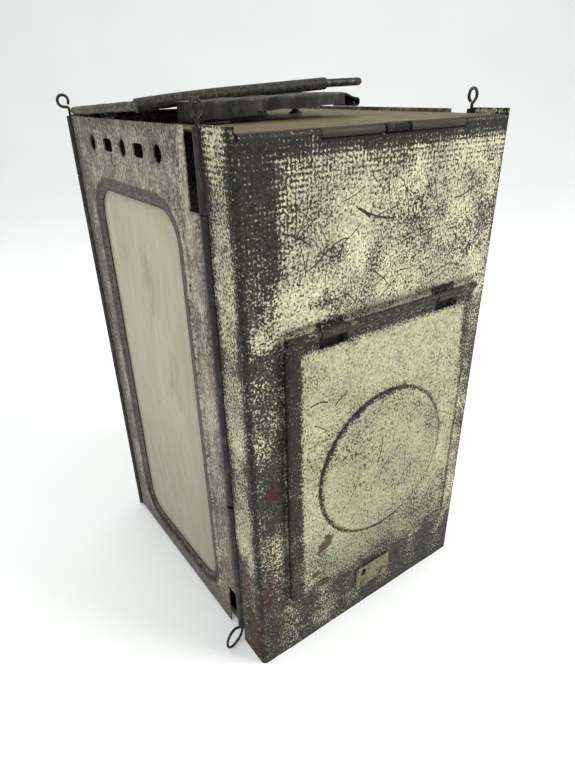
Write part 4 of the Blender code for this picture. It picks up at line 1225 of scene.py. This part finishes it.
def panel_outline():
    """A panel's blank, with its edges cut back where the front and rear walls' knuckles stand."""
    front, rear = FRONT_PINS + 0.2, REAR_PINS - 0.2
    low, high = LOW_BREAK + 0.5, HIGH_BREAK - 0.5
    notch, inset = FRONT_PINS + 10.0, REAR_PINS - 2.2
    outline = [(notch, PANEL_LOW), (inset, PANEL_LOW), (inset, low), (rear, low), (rear, high), (inset, high)]
    outline += [(inset, PANEL_HIGH), (notch, PANEL_HIGH), (notch, high), (front, high), (front, low)]
    return outline + [(notch, low)]


def side_panels():
    holes = [rounded(GLASS, GLASS_CORNER, 12, 1.6)]
    holes += [circle((y, VENT_Z), 3.1, 0.8) for y in ROUND_VENTS]
    holes += [rounded((y - 4.5, y + 4.5, VENT_Z - 2.4, VENT_Z + 2.4), 1.5, 5) for y in SLOT_VENTS]
    bead_lines = (0.9, 1.8, 2.8, 3.8, 4.7, 5.4, 5.9, 6.4, 6.9, 7.6)
    rings = [rounded(grown(GLASS, by), GLASS_CORNER + by, 14, 1.5) for by in bead_lines]
    pane = rounded(grown(GLASS, 4), GLASS_CORNER, 8)
    ring, opening = rounded(grown(GLASS, 6), GLASS_CORNER + 2, 8), rounded(GLASS, GLASS_CORNER, 8)
    for side, word, body in ((-1, "left", "door"), (1, "right", "case")):
        turned = side < 0
        mesh = sheet(
            f"{word}_panel_sheet", panel_outline(), side_place(side, HALF_WIDTH + SHEET / 2), holes, 1.9,
            rings=rings, relief=panel_relief,
            layers={"wear": panel_wear_and_highlight, "rust": panel_rust, "dirt_and_shade": panel_dirt_and_shade}, turned=turned,
        )
        add_piece(f"{word}_panel_sheet", mesh, SIDE_LOOK, body, [f"{word}_panel"])
        mesh = sheet(
            f"{word}_mica_pane", pane, side_place(side, 60.35), (), 3.5,
            relief=lambda u, v: ripple(u, v, 41, 0.07),
            layers={"wear": mica_edge, "darkening": mica_darkening, "rust": mica_rust}, thickness=0.4, turned=turned,
        )
        add_piece(f"{word}_mica_pane", mesh, MICA_LOOK, body, [f"{word}_mica"])
        mesh = sheet(
            f"{word}_window_frame", ring, side_place(side, 59.6), [opening], 2.4,
            relief=lambda u, v: 0.12 * ridge(off_window(u, v), 3.0, 1.5),
            layers={"wear": even(0.35), "rust": even(0.15)}, thickness=0.5, turned=turned,
        )
        add_piece(f"{word}_window_frame", mesh, INNER_LOOK, body, [f"{word}_mica_frame"])


# Rear wall and floor


def rear_wall():
    edge, inset = HALF_WIDTH - 0.15, HALF_WIDTH - 2.2
    low, high = LOW_BREAK - 0.15, HIGH_BREAK + 0.15
    outline = [(-edge, 0), (edge, 0), (edge, low), (inset, low), (inset, high), (edge, high), (edge, HEIGHT)]
    outline += [(-edge, HEIGHT), (-edge, high), (-inset, high), (-inset, low), (-edge, low)]
    panel = (-46.0, 46.0, 22.0, 196.0)

    def relief(u, v):
        away = rounded_distance(u, v, panel, 9.0)
        return 0.32 * ridge(away, 0, 2.4) + ripple(u, v, 57, 0.14) * ramp(-away, 2, 8)

    def place(u, v, height):
        return u, REAR_PINS + SHEET / 2 + height - 0.35, v

    def wear(u, v):
        borders = [ramp(np.abs(u), 54, 60), ramp(v, 208, 218), 1 - ramp(v, 2, 12)]
        return 0.6 * np.maximum.reduce(borders) + 0.35 * ridge(rounded_distance(u, v, panel, 9.0), 0, 2.0)

    def rust(u, v):
        return blots(u, v, (((38, 20), 16, 0.6, 0.6), ((-40, 180), 14, 1.0, 0.5), ((-50, 60), 9, 2, 0.4)))

    rings = [rounded(grown(panel, by), 9.0 + by, 10, 1.6) for by in (-2.4, -1.2, 0, 1.2, 2.4)]
    strokes = scratches(
        61, ((-20, 140), (10, 152), 2, 0.7), ((15, 90), (33, 70), -1, 0.6), ((-30, 60), (-10, 48), 1, 0.7)
    )
    mesh = sheet(
        "rear_wall_sheet", outline, place, (), 2.2, rings=rings, strokes=strokes, relief=relief,
        layers={"wear": wear, "rust": rust}, turned=True,
    )
    add_piece("rear_wall_sheet", mesh, FRONT_LOOK, "case", ["rear_wall"])
    top, back = ROOF_TOP - SHEET - 0.35, REAR_PINS - 0.6
    profile = [(REAR_PINS - 4.5, top - 0.2), (REAR_PINS - 1.2, top - 0.2), (back, top - 1.0), (back, top - 5)]
    profile = softened(profile)
    rows = [[(x, *p) for p in profile] for x in np.linspace(-50, 50, 21)]
    mesh = skin("rear_ledge", rows, {"wear": even(0.5)}, 0.5)
    add_piece("rear_ledge", mesh, INNER_LOOK, "case")


def floor_pan():
    half, front, rear = HALF_WIDTH - 2.6, FRONT + SHEET + 0.35, REAR_PINS - 2.2
    bend, corner, rim = 1.5, 2.5, 6.0
    base = (-half + bend, half - bend, front + bend, rear - bend)
    length = bend * math.pi / 2 + rim - bend
    outline = rounded(grown(base, length), corner + length, 8)
    tray_at = (0, CANDLE_Y)

    def place(u, v, height):
        x, y, down = folded(u, v, height, base, corner, bend)
        return x, y, -down

    rings = [rounded(grown(base, by), corner + max(by, -1), 10, 1.6) for by in (0, 0.6, 1.2, 1.8, 2.36)]
    rings += [circle(tray_at, r, 1.6) for r in (33, 34, 35)]
    mesh = sheet(
        "floor_sheet", outline, place, (), 2.6, rings=rings,
        relief=lambda u, v: -0.25 * ridge(np.hypot(u, v - CANDLE_Y), 34, 1.2),
        layers={
            "wear": lambda u, v: 0.35 + 0.3 * blot(u, v, tray_at, 40),
            "rust": lambda u, v: 0.5 * blot(u, v, (30, -30), 24),
        },
        turned=True,
    )
    add_piece("floor_sheet", mesh, INNER_LOOK, "case", ["floor_pan"])


# Roof, vent hood and chimney cap


def roof_place(u, v, height):
    """u runs along X and v back; ahead of the pin the sheet rolls down round it."""
    over = np.clip((ROOF_AXIS_Y - v) / ROLL, 0, None)
    radius = ROLL + SHEET / 2 + height
    rolled = over > 0
    y = np.where(rolled, ROOF_AXIS_Y - radius * np.sin(over), v)
    z = np.where(rolled, ROOF_AXIS_Z + radius * np.cos(over), ROOF_TOP + height)
    return u, y, z


def roof_plate():
    front, tip = ROOF_AXIS_Y + 2.2, ROOF_AXIS_Y - ROLL * 4.4
    narrow, wide, shoulder, rear = 57.2, 58.9, -44.4, 66.4
    outline = [(narrow, front), (narrow, shoulder), (wide, shoulder), (wide, rear)]
    outline += [(-wide, rear), (-wide, shoulder), (-narrow, shoulder), (-narrow, front)]
    for low, high in ((ROOF_GAP[0], SPRING_GAP[0]), (SPRING_GAP[1], ROOF_GAP[1])):
        outline += [(low + 0.35, front), (low + 0.35, tip), (high - 0.35, tip), (high - 0.35, front)]
    holes = [rounded(CHIMNEY, 6, 8)]
    holes += [rounded((x - 5, x + 5, -22.1, -15.1), 2, 5) for x in (-26.0, -10.0, 6.0)]
    rolls = [ROOF_AXIS_Y - ROLL * 4.4 * i / 15 for i in range(15)] + [front - 0.8]

    def relief(u, v):
        collar = 2.7 * (1 - ramp(rounded_distance(u, v, CHIMNEY, 6), 0.3, 1.9))
        hump = 0.9 * blot(u, v, (6, -56), 13, 0.5) + 0.35 * blot(u, v, (-34, -55), 12, 0.5)
        calm = ramp(v, -65, -58) * (1 - ramp(v, -40, -32))
        return collar + hump * calm + ripple(u, v, 71, 0.16) * calm

    def wear(u, v):
        return 0.9 * (1 - ramp(v, -67.2, -65.6)) + 0.7 * ramp(np.abs(u), 55.2, 57.5) + 0.6 * ramp(v, 63, 66)

    rings = [rounded(grown(CHIMNEY, by), 6 + by, 8, 1.5) for by in (0.35, 0.8, 1.2, 1.6, 2.1)]
    mesh = sheet(
        "roof_sheet", outline, roof_place, holes, 1.9, v_lines=rolls, rings=rings, relief=relief,
        layers={"wear": wear, "dirt_and_shade": lambda u, v: 0.45 * (1 - ramp(v, -66.5, -65.4))},
    )
    add_piece("roof_sheet", mesh, ROOF_LOOK, "roof", ["roof_plate"])


def in_hood(points):
    """Points of the hood turned up towards +X about its front left end."""
    pivot = np.array((HOOD[0], HOOD[2], HOOD_TOP))
    offset = np.asarray(points, float) - pivot
    c, s = math.cos(HOOD_LEAN), math.sin(HOOD_LEAN)
    x, z = offset[..., 0] * c - offset[..., 2] * s, offset[..., 0] * s + offset[..., 2] * c
    return np.stack([x, offset[..., 1], z], axis=-1) + pivot


def hood_back(x):
    """How far the hood's front wall sits behind its foremost bulge at each x."""
    for start, end in zip(HOOD_CREASES, HOOD_CREASES[1:]):
        if x <= end:
            share = np.clip((x - start - 1) / (end - start - 2), 0, 1)
            return 2.0 * (1 - math.sin(math.pi * share) ** 0.8)
    return 2.0


def hood_shade(p):
    """Painted shade in the creases between the bulges and along the lower edge of the wall."""
    crease = np.maximum.reduce([ridge(p[:, 0], x, 2.4) for x in HOOD_CREASES[1:-1]])
    low = 0.6 * (1 - ramp(p[:, 2], 219.5, 223.0))
    return np.where(p[:, 1] < HOOD[2] + 2.6, np.maximum(0.85 * crease, low), 0.3 * crease)


def hood_shelf():
    """The hood's top and its bulged front wall, which is deeper at the left."""
    left, right, front, rear = HOOD
    edge = [(0.0, -0.9), (0.05, -0.5), (0.3, -0.15), (0.8, -0.02), (1.6, 0.0), (3.0, 0.0)]
    edge += [(d, 0.0) for d in np.linspace(5.0, rear - front, 8)]
    across = [x for x in np.linspace(left + 1, right - 1, 95) if abs(x - HOOD_APRON_END) > 0.5]
    rows = []
    for x in sorted([*across, HOOD_APRON_END - 0.25, HOOD_APRON_END + 0.25]):
        back = hood_back(x)
        foot = 5.5 if x < HOOD_APRON_END else 4.2
        wall = [(0.0, -foot + (foot - 1.4) * i / 6) for i in range(7)]
        top = HOOD_TOP - 0.22 * back
        rows.append([(x, front + d + back * (1 - min(d, 9) / 9), top + rise) for d, rise in wall + edge])
    mesh = skin("hood_shelf", in_hood(rows)[:, ::-1], {"dirt_and_shade": hood_shade}, 0.55)
    add_piece("hood_shelf", mesh, HOOD_LOOK, "roof", ["vent_hood"])


def hood_ends():
    """The curl at the hood's right, and the leg that holds its left end to the roof."""
    left, right, front, rear = HOOD
    top = HOOD_TOP
    profile = [(right - 5.0, top - 0.75), (right - 2.0, top - 0.75), (right - 0.5, top - 0.85)]
    profile += [(right + 1.4, top - 1.45), (right + 3.0, top - 2.2), (right + 4.6, top - 2.6)]
    profile += list(arc((HOOD_CURL[0], top + HOOD_CURL[1]), 1.35, 78, -190, 22))
    rows = [[(p[0], y, p[1]) for p in profile] for y in np.linspace(front + 2.3, front + 15.7, 8)]
    add_piece("hood_curl", centred_skin("hood_curl", in_hood(rows)), HOOD_LOOK, "roof")
    base = ROOF_TOP + 0.65
    profile = [(left + 1.4, top - 0.7), (left + 1.3, base + 1.2), (left + 1.5, base), (left + 2.8, base)]
    profile = softened(profile + [(left + 12, base)])
    rows = [[(p[0], y, p[1]) for p in profile] for y in np.linspace(front + 2.6, rear - 1, 9)]
    add_piece("hood_leg", centred_skin("hood_leg", rows), HOOD_LOOK, "roof")


def hood_rivets():
    shank = [(0, -1.0), (0.7, -1.0), (0.7, 0.1)]
    head = [(1.8, 0.1), (1.8, 0.3), (1.5, 0.65), (1.0, 0.9), (0.5, 1.0), (0, 1.03)]
    for word, y in (("front", -22.0), ("rear", -13.0)):
        place = (-41.0, y, ROOF_TOP + 0.35 + SHEET + 0.3)
        mesh = lathe(f"hood_rivet_head_{word}", shank + head, place, "Z", 24)
        add_piece(f"hood_rivet_head_{word}", mesh, WIRE_LOOK, "roof", [f"hood_rivet_{word}"])


def cap_frame():
    """The chimney cap's own frame: u along the hem, v back across the cap, w up, from the hem's left end."""
    along = Vector((math.cos(LEAN), 0, math.sin(LEAN)))
    back = Vector((0, math.cos(CAP_PITCH), -math.sin(CAP_PITCH)))
    back = (back - along * back.dot(along)).normalized()
    turn = Matrix((along, back, along.cross(back))).transposed().to_4x4()
    turn.translation = HEM_CORNER
    return np.array(turn)


CAP_FRAME = cap_frame()


def in_cap(points):
    points = np.asarray(points, float)
    return points @ CAP_FRAME[:3, :3].T + CAP_FRAME[:3, 3]


HEM_DROOP = 0.9
HEM_STRAIGHT = 38.0
CAP_DEPTH = 71.0


def chimney_cap():
    """A cover whose front hem is rolled round the hanger's wire."""
    width, depth, hem, level = 83.0, CAP_DEPTH, 1.75, -1.5

    def place(u, v, height):
        """v is negative along the hem, which droops a little towards its left end."""
        over = np.clip(-v / hem, 0, None)
        y = np.where(over > 0, -(hem - height) * np.sin(over), v)
        flat = level + 0.3 + height - 0.25 * (1 - ramp(v, 0, 3.0))
        z = np.where(over > 0, -(hem - height) * np.cos(over), flat)
        droop = HEM_DROOP * (1 - np.clip(u / HEM_STRAIGHT, 0, 1)) ** 2 * (1 - ramp(v, 0, 14))
        return in_cap(np.column_stack([u, y, z - droop])).T

    outline = [(width, -hem * 4.9), (width, depth), (0, depth), (0, -hem * 4.9)]
    rolls = [-hem * 4.9 * i / 22 for i in range(22)] + [1.0, 2.0]
    folds = [8.0, 16.0, 24.0, 32.0]

    def relief(u, v):
        calm = ramp(v, 1, 10) * ramp(depth - v, 0, 10) * ramp(u, 0, 8)
        return calm * (ripple(u, v, 83, 0.18) + 0.35 * np.sin(math.pi * np.clip(u / width, 0, 1)))

    def wear(u, v):
        rim = 1 - ramp(np.minimum(width - u, depth - v), 0.6, 3.2)
        front = (v < 1.0) * (1.15 - 0.4 * ridge(u, 60, 9) - 0.3 * ridge(u, 34, 6))
        return np.maximum(front, 0.5 * rim) + 0.25 * (u > 1)

    def rust(u, v):
        return blots(u, v, (((60, 40), 16, 1.0, 0.5), ((20, 60), 12, 1.0, 0.4)))

    mesh = sheet(
        "cap_sheet", outline, place, (), 1.9, folds, rolls, relief=relief,
        layers={"wear": wear, "rust": rust}, thickness=0.5,
    )
    add_piece("cap_sheet", mesh, CAP_LOOK, "roof", ["chimney_cap"])


def cap_side_roll():
    """The rolled bar down the cap's left edge."""
    along = np.linspace(-0.4, CAP_DEPTH - 1.0, 30)
    sizes = [1.0 + 0.03 * math.sin(0.9 * v) + 0.02 * math.sin(2.3 * v) for v in along]
    bar = in_cap([(0.15, v, -0.95) for v in along])
    wire("cap_side_roll", bar, 1.62, CAP_LOOK, "roof", (), 7, sizes)


def cap_posts():
    normal = CAP_FRAME[:3, 2]
    base = CAP_FRAME[:3, :3] @ np.array((0, 0, -1.8)) + CAP_FRAME[:3, 3]
    for number, (x, y) in enumerate(((-52.0, 60.0), (16.0, 60.0), (16.0, 6.0), (-52.0, 6.0)), 1):
        low = ROOF_TOP + 0.35
        high = base[2] - (normal[0] * (x - base[0]) + normal[1] * (y - base[1])) / normal[2] - 0.45
        tall = high - low
        profile = [(0, 0), (1.5, 0), (1.5, tall - 0.3), (1.2, tall), (0, tall)]
        if tall > 2.5:
            flange = [(0, 0), (2.8, 0), (3.0, 0.2), (2.9, 0.6), (2.2, 0.9), (1.7, 1.2), (1.5, 1.7)]
            profile = flange + [(1.35, tall / 2), (1.5, tall - 0.6), (1.3, tall), (0, tall)]
        mesh = lathe(f"cap_stud_{number}", profile, (x, y, low), "Z", 28)
        add_piece(f"cap_stud_{number}", mesh, WIRE_LOOK, "roof", [f"cap_post_{number}"])


# Wires


def hanger():
    """A wire crank, thick where it shows along the cap's hem and beyond it, thinner over the cap."""
    bend, out, arm, grip = 4.0, 104.0, 46.0, 62.0
    plan = [(HEM_STRAIGHT + 2, 0), (60, 0), (82.5, 0), (84, 0), (92, 0)]
    sizes = [1.20, 1.20, 1.20, 1.36, 1.36]
    plan += [tuple(p) for p in arc((out - bend, bend), bend, 270, 360, 10)]
    sizes += [1.32] * 11
    plan += [tuple(p) for p in arc((out - bend, arm - bend), bend, 0, 90, 10)]
    plan += [(86, arm), (out - grip / 2, arm), (out - grip, arm)]
    sizes += [1.0] * 14
    points = in_cap([(u, v, -0.6 * max(0.0, (u - 84) / 20) * (v < 20)) for u, v in plan])
    wire("hanger_wire", points, 1.14, WIRE_LOOK, "hanger", ["hanger"], 7, sizes)


def eye(foot, radius, azimuth, lean=0.0):
    """The path of a wire eye on a stem that ends at foot, in the upright plane at azimuth (degrees)."""
    neck = radius * 1.15 + 1.1
    local = [(0, -neck), (0, -neck + 0.7), (0.15 * radius, -1.18 * radius), (0.45 * radius, -0.95 * radius)]
    local = [tuple(p) for p in softened(local, 1)]
    local += [tuple(p) for p in arc((0, 0), radius, -50, 240, 28)]
    a = math.radians(azimuth)
    path = []
    for u, v in local:
        v += neck
        u, v = u * math.cos(lean) + v * math.sin(lean), v * math.cos(lean) - u * math.sin(lean)
        path.append(np.array(foot) + (u * math.cos(a), u * math.sin(a), v))
    return path


def hinge_pins():
    """The four upright wires with an eye on top, then the bottom pin and the two fixed rods."""
    x, top = HALF_WIDTH, HEIGHT + 0.5
    pins = (
        ("front_left_top_pin", -x, FRONT_PINS, HIGH_BREAK + 0.5, 20, 0.0, 0.0, 2.3),
        ("front_right_pin", x, FRONT_PINS, 1.0, 0, 0.0, 0.0, 2.4),
        ("rear_left_pin", -x, REAR_PINS, 1.0, 180, math.radians(34), 1.8, 2.3),
        ("rear_right_pin", x, REAR_PINS, 1.0, 90, 0.0, 0.0, 2.4),
    )
    for node, px, py, low, azimuth, lean, lift, size in pins:
        stem = [(px, py, low + 1), (px, py, (low + top) / 2)]
        points = stem + eye((px, py, top + lift), size, azimuth, lean)
        wire(node + "_wire", points, PIN, WIRE_LOOK, node, [node])
    bottom_pin()
    for node, name, y, z, left, right in (
        ("roof_hinge_pin", "roof_rod", ROOF_AXIS_Y, ROOF_AXIS_Z, -58.6, 58.6),
        ("flap_hinge_pin", "flap_rod", FLAP_AXIS_Y, FLAP_AXIS_Z, -45.9, 49.9),
    ):
        points = [(px, y, z) for px in np.linspace(left, right, 9)]
        wire(name, points, PIN, WIRE_LOOK, "case", [node])


def bottom_pin():
    """A short pin pushed up into the front left foot, bent out to a ring that hangs beside it."""
    out = np.array((-0.94, -0.34, 0))
    axis = np.array((-HALF_WIDTH, FRONT_PINS, 0))
    points = [axis + (0, 0, z) for z in (LOW_BREAK - 1.1, 12.0, FOOT_KNUCKLE - 1.9)]
    points += [axis + out * u + (0, 0, z) for u, z in ((0.5, 4.0), (1.5, 2.7), (2.8, 1.9))]
    points = softened(points, 1) + [axis + out * u + (0, 0, z) for u, z in arc((6.2, 6.0), 4.6, 250, 500, 30)]
    node = "front_left_bottom_pin"
    wire(node + "_wire", points, PIN, WIRE_LOOK, node, [node])


def roof_spring():
    start, end, turns, radius = SPRING_GAP[0] + 0.9, SPRING_GAP[1] - 0.9, 10, 1.3
    steps = 22
    path = []
    for i in range(turns * steps + 1):
        turn = math.tau * i / steps
        x = start + (end - start) * i / (turns * steps)
        path.append((x, ROOF_AXIS_Y + radius * math.cos(turn), ROOF_AXIS_Z + radius * math.sin(turn)))
    first = np.array(path[0])
    leg = softened([first + (0, 0.15, -9), first + (0, 0.05, -2.0), first + (0, 0, -0.4)], 1)
    wire("roof_coil", leg + path, 0.4, WIRE_LOOK, "case", ["roof_spring"], 3)


# Candle


def candle_holder():
    """A dish with a raised rim, and the cup that stands in it."""
    base = SHEET + 0.35
    dish = [(0, 0), (27, 0), (28.0, 0.5), (29.2, 3.0), (30.0, 3.8), (29.7, 4.0)]
    dish += [(29.0, 3.6), (27.7, 1.1), (26.8, 0.6), (0, 0.6)]
    mesh = lathe("drip_dish", dish, (0, CANDLE_Y, base), "Z", 80)
    add_piece("drip_dish", mesh, INNER_LOOK, "case", ["drip_tray"])
    low = base + SHEET + 0.35
    cup = [(0, 0), (17.2, 0), (17.6, 0.3), (17.2, 0.6), (12.4, 0.65), (11.7, 1.2), (11.6, 2.0), (11.6, 18.4)]
    cup += [(11.9, 19.0), (11.9, 19.7), (11.5, 20.0), (11.1, 19.6), (11.0, 18.8), (11.0, 0.7), (0, 0.7)]
    mesh = lathe("candle_cup", cup, (0, CANDLE_Y, low), "Z", 64)
    add_piece("candle_cup", mesh, INNER_LOOK, "case", ["candle_socket"])
    return low + SHEET + 0.35


def candle(foot):
    """A half-melted candle: a hollow at its top, and drips that run down its side."""
    height = 78.0
    wax = [(0, 0), (9.9, 0), (9.9, 24), (10.0, 55), (9.9, height - 6), (9.95, height - 2.2)]
    wax += [(9.6, height - 0.7), (8.9, height - 0.1), (8.0, height - 0.5), (6.0, height - 2.0)]
    wax += [(3.0, height - 2.9), (1.6, height - 2.8), (1.2, height - 3.4), (1.1, height - 6.0)]
    wax += [(0, height - 6.0)]
    mesh = lathe("candle_wax", wax, (0, CANDLE_Y, foot), "Z", 72)
    drips = ((0.5, 20.0, 1.1), (2.3, 33.0, 0.9), (4.1, 14.0, 1.2), (5.2, 26.0, 0.8))
    points = np.zeros(len(mesh.vertices) * 3)
    mesh.vertices.foreach_get("co", points)
    points = points.reshape(-1, 3) / MM
    across = points[:, :2] - (0, CANDLE_Y)
    reach, around = np.hypot(*across.T), np.arctan2(across[:, 1], across[:, 0])
    rise = points[:, 2] - foot
    swell = np.zeros(len(points))
    for angle, length, size in drips:
        gap = np.abs((around - angle + math.pi) % math.tau - math.pi)
        drip = size * ridge(gap, 0, 0.24) * ramp(rise, height - length, height - length + 4)
        swell = np.maximum(swell, drip)
    swell *= (reach > 9.0) * (rise > 3)
    points[:, :2] += across / np.maximum(reach, 1e-6)[:, None] * swell[:, None]
    mesh.vertices.foreach_set("co", (points * MM).ravel())
    add_piece("candle_wax", mesh, WAX_LOOK, "case", ["candle"])
    y, tip = CANDLE_Y, foot + height
    path = [(0, y, tip - 5.4), (0.05, y, tip - 1), (0.15, y + 0.1, tip + 3), (0.6, y + 0.2, tip + 6.4)]
    path = softened(path)
    wire("candle_wick", path, 0.62, WICK_LOOK, "case", ["wick"])


# Stage, light and camera


STAGE_YAW = math.radians(-35.2)
CAMERA_AT = (-141.93, -206.78, 229.31)
CAMERA_YAW, CAMERA_PITCH, CAMERA_ROLL = math.radians(35.21), math.radians(28.37), math.radians(-1.41)
CAMERA_LENS = 25.94
SKY = (0.97, 1.0, 0.985, 1)


def stage():
    """A pale sweep: a floor that curves up into a backdrop far behind the lantern."""
    profile = [(-1.6, 0.0), (0.9, 0.0)]
    curve = np.linspace(0.05, math.pi / 2, 24)
    profile += [(0.9 + 0.9 * math.sin(a), 0.9 * (1 - math.cos(a))) for a in curve]
    profile += [(1.8, 2.6)]
    c, s = math.cos(STAGE_YAW), math.sin(STAGE_YAW)
    verts = [(side * c - d * s, side * s + d * c, z) for d, z in profile for side in (-3.2, 3.2)]
    faces = [(2 * i, 2 * i + 1, 2 * i + 3, 2 * i + 2) for i in range(len(profile) - 1)]
    mesh = bpy.data.meshes.new("sweep")
    mesh.from_pydata(verts, [], faces)
    mesh.shade_smooth()
    floor = bpy.data.objects.new("sweep", mesh)
    bpy.context.scene.collection.objects.link(floor)
    look = Look("pale_floor")
    shade = look.step(look.noise(160, shift=2.0, detail=2), 0.3, 0.7)
    floor.data.materials.append(look.finish(look.mix(shade, (0.84, 0.85, 0.845), (0.87, 0.88, 0.875)), 0.7))
    look.surface.inputs["Emission Color"].default_value = SKY
    look.surface.inputs["Emission Strength"].default_value = 0.17


def lamp(name, at, target, size, power, colour=(1, 1, 1)):
    data = bpy.data.lights.new(name, "AREA")
    data.shape = "SQUARE"
    data.size = size
    data.energy = power
    data.color = colour
    obj = bpy.data.objects.new(name, data)
    bpy.context.scene.collection.objects.link(obj)
    obj.location = at
    obj.rotation_mode = "QUATERNION"
    obj.rotation_quaternion = (Vector(target) - Vector(at)).to_track_quat("-Z", "Y")


def light():
    world = bpy.data.worlds.new("studio")
    world.use_nodes = True
    background = world.node_tree.nodes["Background"]
    background.inputs[0].default_value = SKY
    background.inputs[1].default_value = 0.46
    bpy.context.scene.world = world
    lamp("key", (0.75, -0.85, 0.80), (0, 0, 0.1), 0.6, 12.0, (1.0, 0.99, 0.96))
    lamp("fill", (-0.9, -0.35, 0.75), (0, 0, 0.1), 0.9, 4.0, (0.97, 1.0, 1.0))
    lamp("top", (0.0, 0.1, 1.25), (0, 0, 0.1), 1.0, 6.0)
    bpy.context.scene.view_settings.view_transform = "Standard"


def camera():
    turn, down = CAMERA_YAW, CAMERA_PITCH
    ahead = Vector((math.sin(turn) * math.cos(down), math.cos(turn) * math.cos(down), -math.sin(down)))
    right = ahead.cross(Vector((0, 0, 1))).normalized()
    up = right.cross(ahead)
    c, s = math.cos(CAMERA_ROLL), math.sin(CAMERA_ROLL)
    right, up = c * right + s * up, c * up - s * right
    data = bpy.data.cameras.new("camera")
    data.lens = CAMERA_LENS
    data.sensor_width = 36
    data.clip_start, data.clip_end = 0.01, 20
    obj = bpy.data.objects.new("camera", data)
    bpy.context.scene.collection.objects.link(obj)
    facing = Matrix((right, up, -ahead)).transposed().to_4x4()
    obj.matrix_world = Matrix.Translation(Vector(CAMERA_AT) * MM) @ facing
    bpy.context.scene.camera = obj


front_wall()
flap_lugs()
knuckles()
flap()
signal_glass()
flap_catch()
side_panels()
rear_wall()
floor_pan()
roof_plate()
hood_shelf()
hood_ends()
hood_rivets()
chimney_cap()
cap_side_roll()
cap_posts()
hanger()
hinge_pins()
roof_spring()
candle(candle_holder())
stage()
light()
camera()
